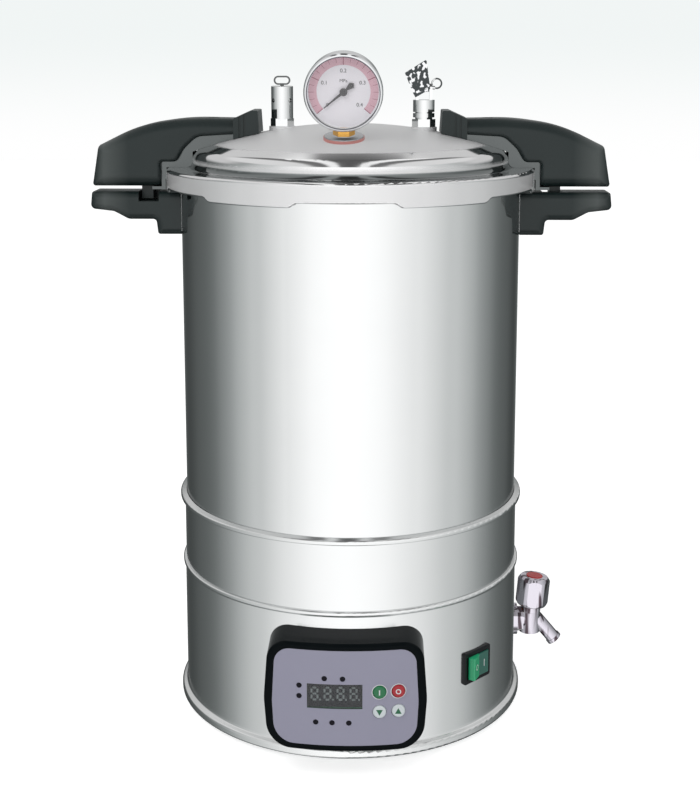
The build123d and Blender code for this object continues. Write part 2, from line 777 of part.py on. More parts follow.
def lower_handle():
    top = lower_handle_top
    low = top - lower_handle_height
    step = top - 23.4
    knee = pot_radius + 21.1
    span = handle_reach - knee
    grip = slab([
        (pot_radius - 5, top), (handle_reach, top, 2), (handle_reach + 1.5, top - 14.5, 4),
        (handle_reach - 0.34 * span, top - 16.8, 9), (handle_reach - 0.57 * span, step, 9),
        (knee, step, 3), (knee - 1.4, low, 2), (pot_radius - 5, low),
    ], handle_width)
    end_edges = [e for e in grip.edges()
                 if e.center().X > handle_reach - 1 and abs(e.center().Y) > handle_width / 2 - 1]
    grip = fillet([e for e in end_edges if e.length > 6], 0.64 * handle_end_rounding)
    grip -= rod(pot_radius + turn_gap, low - 1, top + 1)
    pocket = sector(pot_radius, pot_radius + 3.1, low + 2.8, top - 1.8, 90, 12.2)
    pocket += block((pot_radius, tongue_reach + 0.2), (-9.1, 9.1),
                    (tongue_z - tongue_sheet - 0.1, tongue_z + 0.1))
    grip -= pocket
    slot_angle = 18.0
    grip -= sector(foot_tab_x - 5, key_outer + 1.8, top - key_depth + 3.2, top + 1,
                   90 - 2.5 + slot_angle / 2, slot_angle)
    grip -= Pos(lower_screw_x, 0, 0) * rod(handle_screw_radius + fit_gap, low - 1, top - 4)
    grip -= Pos(lower_screw_x, 0, 0) * rod(handle_screw_head + loose_gap, low - 1, low + 4)
    return grip


def lower_handle_screws():
    low = lower_handle_top - lower_handle_height
    screw = rod(handle_screw_radius, low + 3.9, lower_handle_top - 4.5)
    screw += rod(handle_screw_head, low + 0.6, low + 3.95)
    screw -= hexagon(4, low, low + 2.5)
    screw = Pos(lower_screw_x, 0, 0) * screw
    return group([screw, half_turn(screw)])


# Pressure gauge, built upright over its seat and then leaned square to the dome

def gauge_place():
    return Pos(gauge_x, gauge_y, dome_height(hypot(gauge_x, gauge_y))) * Rot(gauge_lean, 0, 0)


def gauge_disc(radius, front, back):
    # Disc on the dial's axis between two distances in front of the gauge's middle.
    return Pos(0, 0, gauge_rise) * Rot(90, 0, 0) * rod(radius, back, front)


def gauge_case():
    back = gauge_front - gauge_depth
    shell_front = gauge_front - 3.2
    case = gauge_disc(gauge_case_radius, shell_front, back)
    back_edge = case.edges().filter_by(GeomType.CIRCLE).sort_by(Axis.Y)[-1]
    case = fillet(back_edge, 3)
    case -= gauge_disc(gauge_case_radius - 0.9, shell_front + 1, back + 1)
    case -= rod(5.1, 0, gauge_rise - gauge_case_radius + 4)
    return gauge_place() * case


def gauge_bezel():
    ring = gauge_disc(gauge_bezel_radius, gauge_front, gauge_front - 6.5)
    ring = fillet(ring.edges().filter_by(GeomType.CIRCLE).sort_by(Axis.Y)[0], 2.0)
    ring -= gauge_disc(gauge_case_radius + weld_gap, gauge_front - 1.2, gauge_front - 7)
    ring -= gauge_disc(gauge_case_radius - 1.6, gauge_front + 1, gauge_front - 7)
    return gauge_place() * ring


def gauge_lens():
    return gauge_place() * gauge_disc(gauge_case_radius - 0.2, gauge_front - 1.25, gauge_front - 3.15)


def gauge_dial():
    dial = gauge_disc(gauge_case_radius - 1.0, gauge_front - 7.4, gauge_front - 8.2)
    return gauge_place() * (dial - gauge_disc(2.0, gauge_front, gauge_front - 12))


def gauge_pointer():
    # Needle with a broad tail, drawn towards +X and then turned to its rest angle.
    needle = make_face(Polyline(
        (pointer_length, -0.35), (pointer_length, 0.35), (2.0, 1.0), (-3.0, 0.8),
        (-pointer_tail + 2.4, 2.6), (-pointer_tail, 0), (-pointer_tail + 2.4, -2.6),
        (-3.0, -0.8), (2.0, -1.0), close=True))
    blade = extrude(needle, amount=0.6) + rod(3.0, 0, 1.6)
    blade += rod(1.4, -6.0, 0.5)
    front = gauge_front - 6.2
    pose = Pos(0, -front, gauge_rise) * Rot(90, 0, 0) * Rot(0, 0, gauge_zero_angle)
    return gauge_place() * (pose * blade)


def gauge_movement():
    # Bourdon tube, a flat C of tube, on the socket block behind the dial.
    back = gauge_front - gauge_depth + 1.4
    front = gauge_front - 9.4
    coil = gauge_disc(21, back + 5, back + 1) - gauge_disc(17.5, back + 6, back)
    coil -= Pos(0, 0, gauge_rise) * block((0, 30), (-30, 30), (-30, 6))
    socket = Pos(0, 0, gauge_rise) * block((-5, 5), (-front + 1, -back), (-24, -6))
    plate = Pos(0, 0, gauge_rise) * block((-9, 9), (-front, -front + 1.2), (-24, 9))
    plate -= gauge_disc(1.46, front + 1, back)
    link = Pos(0, 0, gauge_rise) * block((-9, 0), (-back - 5, -back - 1), (-22, -17.6))
    return gauge_place() * (coil + socket + plate + link)


def gauge_stem():
    # Brass socket: hexagon over the washer, neck into the case, thread down through the lid.
    washer_top = gauge_seal_height + 1.5
    case_low = gauge_rise - gauge_case_radius
    stem = hexagon(gauge_hex, washer_top, case_low - 1.5)
    stem += rod(5.0, case_low - 2, case_low + 0.8)
    stem += block((-3.5, 3.5), (-3, 3.5), (case_low, case_low + 5.5))
    stem += rod(gauge_thread_radius, -10, washer_top + 0.5)
    return gauge_place() * (stem - rod(2, -11, case_low))


def gauge_washer():
    low = gauge_seal_height + weld_gap
    washer = turned([
        (gauge_thread_radius + weld_gap, low), (gauge_washer_radius, low),
        (gauge_washer_radius, low + 0.7, 0.4), (10.0, low + 1.4), (gauge_thread_radius + weld_gap, low + 1.4),
    ])
    return gauge_place() * washer


def gauge_seal():
    seal = tube(gauge_seal_radius, gauge_thread_radius + weld_gap, -1.5, gauge_seal_height)
    seal = gauge_place() * seal
    return seal - Pos(0, 0, dome_centre_z) * Sphere(dome_radius + weld_gap)


# Safety valve

def safety_valve_body():
    # Hexagon, thread with a steam bore, and a barrel with four steam holes.
    seat = valve_hex_height + 2.0
    top = valve_hex_height + safety_height
    body = hexagon(valve_hex, weld_gap, valve_hex_height) + rod(safety_radius, valve_hex_height - 0.5, top)
    body = fillet(body.edges().filter_by(GeomType.CIRCLE).sort_by(Axis.Z)[-1], 0.8)
    body += rod(valve_thread_radius, pad_bottom(safety_x) - pad_top(safety_x) - 7, 1)
    body -= rod(safety_radius - safety_wall, seat, top - 2.5)
    body -= rod(vent_pin_radius + fit_gap, seat, top + 1)
    body -= rod(2.5, -20, seat + 1)
    for azimuth in (50, 130, 230, 310):
        body -= Rot(0, 0, azimuth - 90) * along_x(rod(1.8, 5, 12), valve_hex_height + 15)
    return Pos(safety_x, 0, pad_top(safety_x)) * body


def safety_valve_stem():
    # Plug, stem and a pull loop of wire.
    seat = valve_hex_height + 2.0 + weld_gap
    top = valve_hex_height + safety_height
    stem = rod(4.6, seat, seat + 2) + rod(vent_pin_radius, seat, top + 2.2)
    loop_z = top + 4.6
    loop = Plane.XZ * (SlotOverall(14.0, 7.6) - SlotOverall(11.2, 4.8))
    stem += Pos(0, 0, loop_z) * extrude(loop, amount=0.8, both=True)
    return Pos(safety_x, 0, pad_top(safety_x)) * stem


def safety_valve_spring():
    low = valve_hex_height + 4.2 + spring_wire
    high = valve_hex_height + safety_height - 2.6 - spring_wire
    coil = Helix(pitch=(high - low) / spring_turns, height=high - low, radius=spring_radius)
    section = Plane(origin=coil @ 0, z_dir=coil % 0) * Circle(spring_wire)
    spring = sweep(section, path=coil, is_frenet=True)
    print("safety spring, least gap between turns:", round((high - low) / spring_turns - 2 * spring_wire, 2))
    return Pos(safety_x, 0, pad_top(safety_x) + low) * spring


# Vent valve

def vent_valve_body():
    # Hexagon, ring, barrel and two ears with the lever's pin pressed in. The pin's
    # right-hand end carries a small wire ring.
    ring_top = valve_hex_height + 6
    barrel_top = valve_hex_height + 16.0
    body = hexagon(valve_hex, weld_gap, valve_hex_height)
    body += rod(7.2, valve_hex_height - 0.5, ring_top)
    body += rod(vent_radius, ring_top - 4.5, ring_top - 1)
    body += rod(vent_radius, ring_top, barrel_top)
    body += rod(valve_thread_radius, pad_bottom(vent_x) - pad_top(vent_x) - 7, 1)
    ear = slab([(-4, 0), (4, 0), (4, vent_pin_height - barrel_top + 4, 3.9),
                (-4, vent_pin_height - barrel_top + 4, 3.9)], 2.5)
    ear = Rot(0, 0, 90) * ear
    for x in (-5.75, 5.75):
        body += Pos(x, 0, barrel_top - 0.5) * ear
    body -= rod(2.0, -20, barrel_top - 2)
    body += along_x(rod(vent_pin_radius, -7.6, 9.2), vent_pin_height)
    body += Pos(10.6, 0, vent_pin_height + 3.6) * Rot(90, 0, 0) * Torus(4.0, 0.7)
    return Pos(vent_x, 0, pad_top(vent_x)) * body


def vent_lever():
    # Hub on the pin with a stamped plate in front of the ears.
    hub = along_x(rod(3.4, -4.2, 4.2), vent_pin_height)
    hub += block((-4.2, 4.2), (-5.6, -1), (vent_pin_height - 3, vent_pin_height + 3))
    plate = forward([
        (-16.2, vent_pin_height + 12.4, 1), (1.7, vent_pin_height + 23.4, 1),
        (5.1, vent_pin_height - 0.9, 1), (-7.6, vent_pin_height - 8.1, 1),
    ], 6.3) & block((-30, 30), (-10, -4.5), (0, 100))
    rim = forward([
        (-13.6, vent_pin_height + 11.8, 1), (0.4, vent_pin_height + 20.2, 1),
        (3.0, vent_pin_height + 1.0, 1), (-6.6, vent_pin_height - 5.0, 1),
    ], 7) & block((-30, 30), (-10, -5.7), (0, 100))
    lever = hub + (plate - rim)
    lever -= along_x(rod(vent_pin_radius + fit_gap, -8, 8), vent_pin_height)
    return Pos(vent_x, 0, pad_top(vent_x)) * lever


# Control box

def box_corners(inset):
    side = box_half_width - inset
    top = box_top_z - inset
    low = box_bottom_z + inset
    return [
        (-side + 3.6, top, 17 - inset), (side - 3.6, top, 17 - inset), (side, box_widest_z, 60),
        (side - 3.0, low, 20 - inset), (-side + 3.0, low, 20 - inset), (-side, box_widest_z, 60),
    ]


def panel_corners(grow):
    side = panel_half_width + grow
    return [
        (-side + 2.4, panel_top_z + grow, 13), (side - 2.4, panel_top_z + grow, 13), (side, box_widest_z, 60),
        (side - 1.8, panel_bottom_z - grow, 16), (-side + 1.8, panel_bottom_z - grow, 16),
        (-side, box_widest_z, 60),
    ]


def face_cylinder(grow):
    # The upright cylinder whose front is the box's gently curved face.
    return Pos(0, box_face_radius - box_front, 0) * rod(box_face_radius + grow, 0, box_top_z + 10)


def face_depth(x):
    # Distance of the box's face in front of the axis at a sideways position.
    return sqrt(box_face_radius ** 2 - x ** 2) - (box_face_radius - box_front)


def face_rod(x, z, radius, front, back):
    # Cylinder along Y between two distances in front of the axis.
    return Pos(x, 0, z) * Rot(90, 0, 0) * rod(radius, back, front)


def window_block(grow):
    half_width = window_width / 2 + grow
    half_height = window_height / 2 + grow
    return block((window_x - half_width, window_x + half_width), (-box_front - 5, -box_front + 10),
                 (window_z - half_height, window_z + half_height))


def control_housing():
    housing = forward(box_corners(0), box_front + 10) & face_cylinder(0)
    front_edges = [e for e in housing.edges() if e.center().Y < -box_front + 14]
    housing = fillet(front_edges, box_edge_rounding)
    housing -= rod(drum_radius + weld_gap, 0, box_top_z + 10)
    housing -= (forward(box_corners(box_wall), box_front + 10) & face_cylinder(-box_wall))
    posts = [face_rod(x, z, 3, face_depth(x) - 1, board_front + weld_gap)
             for x in (-44, 44) for z in (board_bottom_z + 6, board_top_z - 6)]
    housing += posts
    housing -= forward(panel_corners(loose_gap), box_front + 10) - face_cylinder(panel_proud - panel_thickness)
    housing -= window_block(0.05)
    for x, z in button_places.values():
        housing -= face_rod(x, z, button_radius + turn_gap, box_front + 5, face_depth(x) - 8)
    for x, z in lamp_places:
        housing -= face_rod(x, z, lamp_radius + loose_gap, box_front + 5, face_depth(x) - 8)
    return housing


def control_panel():
    panel = forward(panel_corners(0), box_front + 10) & face_cylinder(panel_proud)
    panel -= face_cylinder(panel_proud - panel_thickness + 0.02)
    panel -= window_block(0.05)
    for x, z in button_places.values():
        panel -= face_rod(x, z, button_radius + turn_gap, box_front + 5, face_depth(x) - 8)
    for x, z in lamp_places:
        panel -= face_rod(x, z, lamp_radius + loose_gap, box_front + 5, face_depth(x) - 8)
    return panel


def display_window():
    return (window_block(0) & face_cylinder(panel_proud)) - face_cylinder(-box_wall)


def display_module():
    half_width = window_width / 2 + 1.5
    half_height = window_height / 2 + 1
    return block((window_x - half_width, window_x + half_width), (-board_front - 12, -board_front - weld_gap),
                 (window_z - half_height, window_z + half_height))


def display_digits():
    # Seven bars and a point for each digit, thin plates on the module's face.
    front = board_front + 12.4
    back = board_front + 12.0 + weld_gap
    half = digit_width / 2
    rise = digit_height / 2
    bar = digit_bar / 2
    inset = bar + digit_bar_gap
    bars = []
    for i in range(digit_count):
        centre = window_x + (i - (digit_count - 1) / 2) * digit_pitch - 0.6
        for level in (-rise, 0, rise):
            bars.append(block((centre - half + inset, centre + half - inset), (-front, -back),
                              (window_z + level - bar, window_z + level + bar)))
        for side in (-half, half):
            for low, high in ((-rise, 0), (0, rise)):
                bars.append(block((centre + side - bar, centre + side + bar), (-front, -back),
                                  (window_z + low + inset, window_z + high - inset)))
        bars.append(face_rod(centre + half + 1.9, window_z - rise, 0.8, front, back))
    return group(bars)


def circuit_board():
    # Board with a push switch behind each button and a relay on its back.
    board = block((-board_half_width, board_half_width), (-board_front, -board_front + board_thickness),
                  (board_bottom_z, board_top_z))
    for x, z in button_places.values():
        board += block((x - 3, x + 3), (-board_front - 3.6, -board_front + 0.2), (z - 3, z + 3))
        board += face_rod(x, z, 1.7, board_front + 4.4, board_front + 3)
    back = -board_front + board_thickness
    board += block((-30, -2), (back - 0.1, back + 6), (44, 60))
    return board


def indicator_lamps():
    lamps = []
    for x, z in lamp_places:
        front = face_depth(x) + 0.4
        lamp = face_rod(x, z, lamp_radius, front, front - 6)
        lamp += face_rod(x, z, 0.5, front - 5, board_front + weld_gap)
        lamps.append(lamp)
    return group(lamps)


def push_button(x, z):
    # Domed cap, a collar behind the wall and a stem to the board's switch.
    front = face_depth(x) + button_proud
    collar = face_depth(x) - box_wall - 1.6
    cap = face_rod(x, z, button_radius, front, collar - 0.5)
    cap = fillet(cap.edges().filter_by(GeomType.CIRCLE).sort_by(Axis.Y)[0], 1.2)
    cap += face_rod(x, z, button_radius + 1.2, collar, collar - 1)
    return cap + face_rod(x, z, 1.5, collar, board_front + 4.4 + button_travel + 0.1)


# Rocker switch, built at the front and then turned to its azimuth

def rocker_housing():
    half_width = rocker_bezel_width / 2
    half_height = rocker_bezel_height / 2
    front = drum_radius + rocker_proud
    back = drum_radius - rocker_body_depth
    bezel = Pos(0, 0, rocker_z) * forward([
        (-half_width, -half_height, 2), (half_width, -half_height, 2),
        (half_width, half_height, 2), (-half_width, half_height, 2)], front)
    bezel = fillet(bezel.faces().sort_by(Axis.Y)[0].edges(), 0.9)
    bezel -= rod(drum_radius + weld_gap, 0, rocker_z + 50)
    width = rocker_body_width / 2
    height = rocker_body_height / 2
    body = block((-width, width), (-front + 1, -back), (rocker_z - height, rocker_z + height))
    body += bezel
    for x in (-9, 0, 9):
        body += block((x - 0.4, x + 0.4), (-back - 1, -back + 5.5), (rocker_z - 3, rocker_z + 3))
    body -= block((-width + rocker_wall, width - rocker_wall), (-front - 1, -back - rocker_wall),
                  (rocker_z - height + rocker_wall, rocker_z + height - rocker_wall))
    pivot = rod(trunnion_radius + fit_gap, rocker_z - height + 0.4, rocker_z + height - 0.4)
    body -= Pos(0, -rocker_pivot, 0) * pivot
    return Rot(0, 0, rocker_azimuth) * body


def rocker():
    # Shallow V seen from above, tipped so that its left half stands out.
    half = rocker_half_length
    height = rocker_body_height / 2 - rocker_wall - 0.25
    shape = extrude(make_face(FilletPolyline(
        (-half, -rocker_end_height), (0, -4.8), (half, -rocker_end_height),
        (half, -1.0), (0, 4.5), (-half, -1.0),
        radius=[0.8, 0, 0.8, 0.8, 2, 0.8], close=True)), amount=height, both=True)
    shape += rod(trunnion_radius, -height - 1.0, height + 1.0)
    shape = Pos(0, -rocker_pivot, rocker_z) * Rot(0, 0, rocker_tilt) * shape
    return Rot(0, 0, rocker_azimuth) * shape


# Drain tap

def spout_frame():
    # Origin at the spout's tip, Z pointing out of it, down and to the right.
    return Pos(spout_tip_x, 0, spout_tip_z) * Rot(0, 90 + spout_angle, 0)


def knob_frame():
    return Pos(tap_barrel_x, 0, tap_z) * Rot(0, knob_lean, 0)


def tap_body():
    # Thread, hexagon, barrel with a leaning bonnet, and the spout.
    inner_x = drain_end_x + weld_gap
    body = along_x(rod(tap_thread_radius, inner_x, tap_barrel_x), tap_z)
    body += along_x(hexagon(20, drum_radius + 3.2, drum_radius + 8.2), tap_z)
    body += Pos(tap_barrel_x, 0, 0) * rod(tap_barrel_radius, tap_z - 11, tap_z + 8)
    body += knob_frame() * rod(tap_barrel_radius - 0.4, 4, knob_bottom - 1.2)
    body += spout_frame() * (rod(spout_radius, -26, 0) + rod(spout_radius + 0.8, -3, 0) - rod(9, -60, -26))
    body -= along_x(rod(tap_bore, inner_x - 1, tap_barrel_x), tap_z)
    body -= Pos(tap_barrel_x, 0, 0) * rod(5.5, tap_z - 6, tap_z + 6)
    body -= spout_frame() * rod(spout_bore, -22, 1)
    return body - knob_frame() * rod(spindle_radius + fit_gap, 4, 13)


def tap_washer():
    low, high = drum_radius - 3, drum_radius + 3.1
    washer = rod(tap_washer_radius, low, high) - rod(tap_thread_radius + weld_gap, low - 1, high + 1)
    return along_x(washer, tap_z) - rod(drum_radius + weld_gap, 0, drum_top_z)


def tap_knob():
    # Six-sided knob with rounded corners on its spindle, one side to the front.
    low, high = knob_bottom, knob_bottom + knob_height
    knob = turned([
        (0, low), (knob_radius - 1.6, low, 1), (knob_radius, low + 3, 2),
        (knob_radius, high - 3.2, 1), (knob_radius - 2.4, high, 0.8), (0, high),
    ])
    knob &= hexagon(knob_flats, low - 1, high + 1)
    knob += rod(spindle_radius, 5.5, low + 1)
    return knob_frame() * knob


def tap_cap():
    low = knob_bottom + knob_height + weld_gap
    return knob_frame() * turned([
        (0, low), (cap_radius, low), (cap_radius, low + 0.9, 0.5), (0, low + 1.3)])


def inner_locknuts():
    # Nuts inside the drum for the tap and the cable gland.
    tap_nut = hexagon(24, drum_bore - 7.6, drum_bore - 0.7)
    tap_nut -= rod(tap_thread_radius + weld_gap, drum_bore - 9, drum_bore)
    gland_nut = hexagon(26, drum_bore - 6.6, drum_bore - 0.8)
    gland_nut -= rod(gland_thread_radius + weld_gap, drum_bore - 9, drum_bore)
    return group([along_x(tap_nut, tap_z), along_y(gland_nut, gland_z)])


# Mains inlet

def gland_body():
    # Threaded body with a hexagon outside the drum.
    body = rod(gland_thread_radius, drum_bore - 9, drum_radius + 9)
    body += hexagon(gland_hex, drum_radius + 0.6, drum_radius + 6)
    return along_y(body - rod(cable_radius, drum_bore - 10, drum_radius + 10), gland_z)


def gland_cap():
    # Domed nut that clamps the cable.
    low = drum_radius + 6 + weld_gap
    cap = turned([
        (cable_radius, low), (11.6, low, 0.6), (11.6, gland_reach - 9, 4),
        (cable_radius + 2.4, gland_reach, 1.5),
        (cable_radius, gland_reach),
    ])
    cap -= copies(rod(1.2, low - 1, gland_reach - 12), 12.0, 12)
    cap -= rod(gland_thread_radius + weld_gap, low - 1, drum_radius + 9 + weld_gap)
    return along_y(cap, gland_z)


# Every piece by its name

def build_parts():
    left_upper, right_upper = half_turn(upper_handle()), upper_handle()
    left_lower, right_lower = half_turn(lower_handle()), lower_handle()
    cap = handle_end_cap()
    bracket = lid_bracket()
    pot_bracket = lower_bracket()
    pieces = {
        "base_drum": base_drum(),
        "middle_band": middle_band(),
        "base_plate": base_plate(),
        "rubber_feet": rubber_feet(),
        "base_screws": base_screws(),
        "support_ring": support_ring(),
        "thermostat": thermostat(),
        "terminal_block": terminal_block(),
        "chamber_pot": chamber_pot(),
        "heating_element": heating_element(),
        "heater_fittings": heater_fittings(),
        "drain_pipe": drain_pipe(),
        "bucket_stand": bucket_stand(),
        "sterilizing_bucket": sterilizing_bucket(),
        "bucket_bail": bucket_bail(),
        "lid": lid(),
        "lid_seal": lid_seal(),
        "lid_nuts": lid_nuts(),
        "lid_brackets": group([bracket, half_turn(bracket)]),
        "left_upper_handle": left_upper,
        "right_upper_handle": right_upper,
        "handle_end_caps": group([cap, half_turn(cap)]),
        "upper_handle_screws": upper_handle_screws(),
        "left_lower_handle": left_lower,
        "right_lower_handle": right_lower,
        "lower_handle_brackets": group([pot_bracket, half_turn(pot_bracket)]),
        "lower_handle_screws": lower_handle_screws(),
        "gauge_case": gauge_case(),
        "gauge_bezel": gauge_bezel(),
        "gauge_lens": gauge_lens(),
        "gauge_dial": gauge_dial(),
        "gauge_pointer": gauge_pointer(),
        "gauge_movement": gauge_movement(),
        "gauge_stem": gauge_stem(),
        "gauge_washer": gauge_washer(),
        "gauge_seal": gauge_seal(),
        "safety_valve_body": safety_valve_body(),
        "safety_valve_stem": safety_valve_stem(),
        "safety_valve_spring": safety_valve_spring(),
        "vent_valve_body": vent_valve_body(),
        "vent_lever": vent_lever(),
        "control_housing": control_housing(),
        "control_panel": control_panel(),
        "display_window": display_window(),
        "display_module": display_module(),
        "display_digits": display_digits(),
        "circuit_board": circuit_board(),
        "indicator_lamps": indicator_lamps(),
        "rocker_housing": rocker_housing(),
        "rocker": rocker(),
        "tap_body": tap_body(),
        "tap_washer": tap_washer(),
        "tap_knob": tap_knob(),
        "tap_cap": tap_cap(),
        "inner_locknuts": inner_locknuts(),
        "cable_gland": group([gland_body(), gland_cap()]),
    }
    for name, (x, z) in button_places.items():
        pieces[name] = push_button(x, z)
    return pieces


os.makedirs("parts", exist_ok=True)
for name, piece in build_parts().items():
    export_step(piece, f"parts/{name}.step")
print("bail hangs", round(bail_drop_angle(), 2), "degrees below level; gauge leans", round(gauge_lean, 2))
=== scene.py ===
import json
from math import atan2, cos, pi, radians, sin

import bpy
import numpy as np
from mathutils import Euler, Matrix, Vector


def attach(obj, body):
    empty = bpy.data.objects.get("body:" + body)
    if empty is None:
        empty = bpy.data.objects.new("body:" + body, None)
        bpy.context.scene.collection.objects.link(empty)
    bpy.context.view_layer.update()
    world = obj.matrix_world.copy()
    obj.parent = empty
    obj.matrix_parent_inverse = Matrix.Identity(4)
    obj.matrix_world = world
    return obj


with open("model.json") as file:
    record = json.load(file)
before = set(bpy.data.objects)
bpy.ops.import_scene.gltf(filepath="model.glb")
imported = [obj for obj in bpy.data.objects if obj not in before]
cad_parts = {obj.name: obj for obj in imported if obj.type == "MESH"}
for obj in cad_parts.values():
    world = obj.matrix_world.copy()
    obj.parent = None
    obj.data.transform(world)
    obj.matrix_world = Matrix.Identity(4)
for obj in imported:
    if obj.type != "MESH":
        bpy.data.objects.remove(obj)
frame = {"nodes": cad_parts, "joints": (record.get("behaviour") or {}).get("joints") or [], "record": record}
nodes = frame["nodes"]
joints = {joint["name"]: joint for joint in frame["joints"]}


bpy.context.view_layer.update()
print("frame loaded with", len(nodes), "nodes")

# Camera, at the photograph's height and distance
camera = {
    "distance": 1.1639,      # from the pot's axis, in metres
    "height": 0.5564,
    "azimuth": 1.4,          # degrees to the right of the front
    "pitch": 9.339,          # degrees below level
    "focalPixels": 1376.5,
    "centrePixels": (350.5, 280.0),
    "imageSize": (700, 800),
    "sensorWidth": 36.0,     # in millimetres
    "clipEnd": 50,
}


def addCamera():
    width, height = camera["imageSize"]
    turn = radians(camera["azimuth"])
    data = bpy.data.cameras.new("photoCamera")
    data.sensor_width = camera["sensorWidth"]
    data.lens = camera["focalPixels"] / height * data.sensor_width
    data.shift_x = (width / 2 - camera["centrePixels"][0]) / height
    data.shift_y = (camera["centrePixels"][1] - height / 2) / height
    data.clip_end = camera["clipEnd"]
    seen = bpy.data.objects.new("photoCamera", data)
    seen.location = (camera["distance"] * sin(turn), -camera["distance"] * cos(turn), camera["height"])
    seen.rotation_euler = Euler((radians(90 - camera["pitch"]), 0, turn))
    bpy.context.scene.collection.objects.link(seen)
    bpy.context.scene.camera = seen


addCamera()
bpy.context.scene.view_settings.view_transform = "Standard"


# Shader helpers

def setSocket(tree, socket, value):
    # Links another node's output, or sets a number or an opaque colour.
    if isinstance(value, bpy.types.NodeSocket):
        tree.links.new(value, socket)
    elif isinstance(value, tuple):
        socket.default_value = value + (1,)
    else:
        socket.default_value = value


def combine(tree, operation, first, second=0.0):
    node = tree.nodes.new("ShaderNodeMath")
    node.operation = operation
    setSocket(tree, node.inputs[0], first)
    setSocket(tree, node.inputs[1], second)
    return node.outputs[0]


def addLength(tree, first, second):
    # Square root of the sum of two squares.
    squares = [combine(tree, "MULTIPLY", value, value) for value in (first, second)]
    return combine(tree, "SQRT", combine(tree, "ADD", *squares))


def addRange(tree, value, low, high, toLow=0.0, toHigh=1.0, smooth=False):
    node = tree.nodes.new("ShaderNodeMapRange")
    if smooth:
        node.interpolation_type = "SMOOTHSTEP"
    for label, number in (("From Min", low), ("From Max", high), ("To Min", toLow), ("To Max", toHigh)):
        setSocket(tree, node.inputs[label], number)
    tree.links.new(value, node.inputs["Value"])
    return node.outputs[0]


def mixColors(tree, share, first, second, blend="MIX"):
    # Of a Mix node's sockets, 0 is the share, 6 and 7 are the colours and 2 is the result.
    node = tree.nodes.new("ShaderNodeMix")
    node.data_type = "RGBA"
    node.blend_type = blend
    for index, value in ((0, share), (6, first), (7, second)):
        setSocket(tree, node.inputs[index], value)
    return node.outputs[2]


def addRamp(tree, value, stops, interpolation="LINEAR"):
    # Colours over a value from 0 to 1, from pairs of a position and a colour.
    node = tree.nodes.new("ShaderNodeValToRGB")
    ramp = node.color_ramp
    ramp.interpolation = interpolation
    while len(ramp.elements) < len(stops):
        ramp.elements.new(0.5)
    for element, (position, color) in zip(ramp.elements, stops):
        element.position = position
        element.color = color + (1,)
    tree.links.new(value, node.inputs[0])
    return node.outputs[0]


def textureParts(tree, output="Object"):
    # X, Y and Z of one of the texture coordinates, such as a place on the piece or its normal.
    place = tree.nodes.new("ShaderNodeTexCoord")
    parts = tree.nodes.new("ShaderNodeSeparateXYZ")
    tree.links.new(place.outputs[output], parts.inputs[0])
    return [parts.outputs[axis] for axis in "XYZ"]


def startMaterial(name):
    material = bpy.data.materials.new(name)
    material.use_nodes = True
    return material, *shaderOf(material)


def shaderOf(material):
    return material.node_tree, material.node_tree.nodes["Principled BSDF"]


# Studio: a white room whose reflection darkens towards the sides, as between two black flags.
# Pairs named Height are heights of a direction, from -1 straight down to 1 straight up, where a
# zone starts and is full. Those named Turn are shares of the half turn from the front to the back.
studio = {
    "backdrop": (1.0, 1.0, 1.0),
    "backdropTop": (0.88, 0.915, 0.91),    # faint cool tone above the object
    "backdropHeight": (-0.07, 0.02),
    "fill": (0.55, 0.55, 0.55),         # even light from all round, on matt surfaces
    "keyPower": 17.0,
    "keyPlace": (-0.9, -1.5, 2.0),
    "keySize": 1.6,
    "sidePower": 5.0,
    "sidePlace": (1.9, -0.6, 1.1),
    "sideSize": 1.0,
    "lampTarget": (0, 0, 0.3),
    "floorReach": 6.0,
    "floorColor": (0.86, 0.86, 0.86),
    "floorRoughness": 0.9,
    "floorLift": 0.62,                  # how much whiter the camera sees the floor
    # reflected brightness by angle from the front, 0 to 180 degrees, on the right and on the left
    "reflectedRight": [
        (0, 1.30), (25, 1.18), (42, 1.00), (50, 0.94), (67, 0.72), (80, 0.63), (95, 0.42),
        (114, 0.205), (138, 0.105), (157, 0.080), (168, 0.22), (180, 0.5),
    ],
    "reflectedLeft": [
        (0, 1.30), (25, 1.18), (39, 1.00), (45, 0.94), (59, 0.72), (70, 0.63), (84, 0.42),
        (102, 0.205), (130, 0.105), (157, 0.080), (168, 0.22), (180, 0.5),
    ],
    "shadeTint": (0.90, 1.0, 0.99),
    # dark strips high and low in front, seen in every bead and shoulder
    "stripHeight": (0.55, 0.86),
    "stripTurn": (0.30, 0.10),
    "stripLevel": 0.16,
    # even pale grey above and behind, which the dome shows
    "ceilingHeight": (0.12, 0.40),
    "ceilingTurn": (0.45, 0.62),
    "ceilingColor": (0.50, 0.50, 0.50),
    # brightness of the stripes overhead by distance sideways, 0 to 1, as the lid's shoulder shows them
    "stripesHeight": (0.54, 0.66),
    "stripes": [
        (0.0, 0.08), (0.085, 0.10), (0.12, 0.80), (0.19, 0.80),
        (0.235, 0.12), (0.34, 0.16), (0.42, 0.62), (1.0, 0.60),
    ],
}


def roomStops(levels, brightest):
    # Ramp stops for the room's brightness, which is cooler where it is darker.
    stops = []
    for turn, level in levels:
        dark = (1 - level / brightest) ** 2
        color = tuple(level / brightest * (1 - dark * (1 - tint)) for tint in studio["shadeTint"])
        stops.append((turn / 180, color))
    return stops


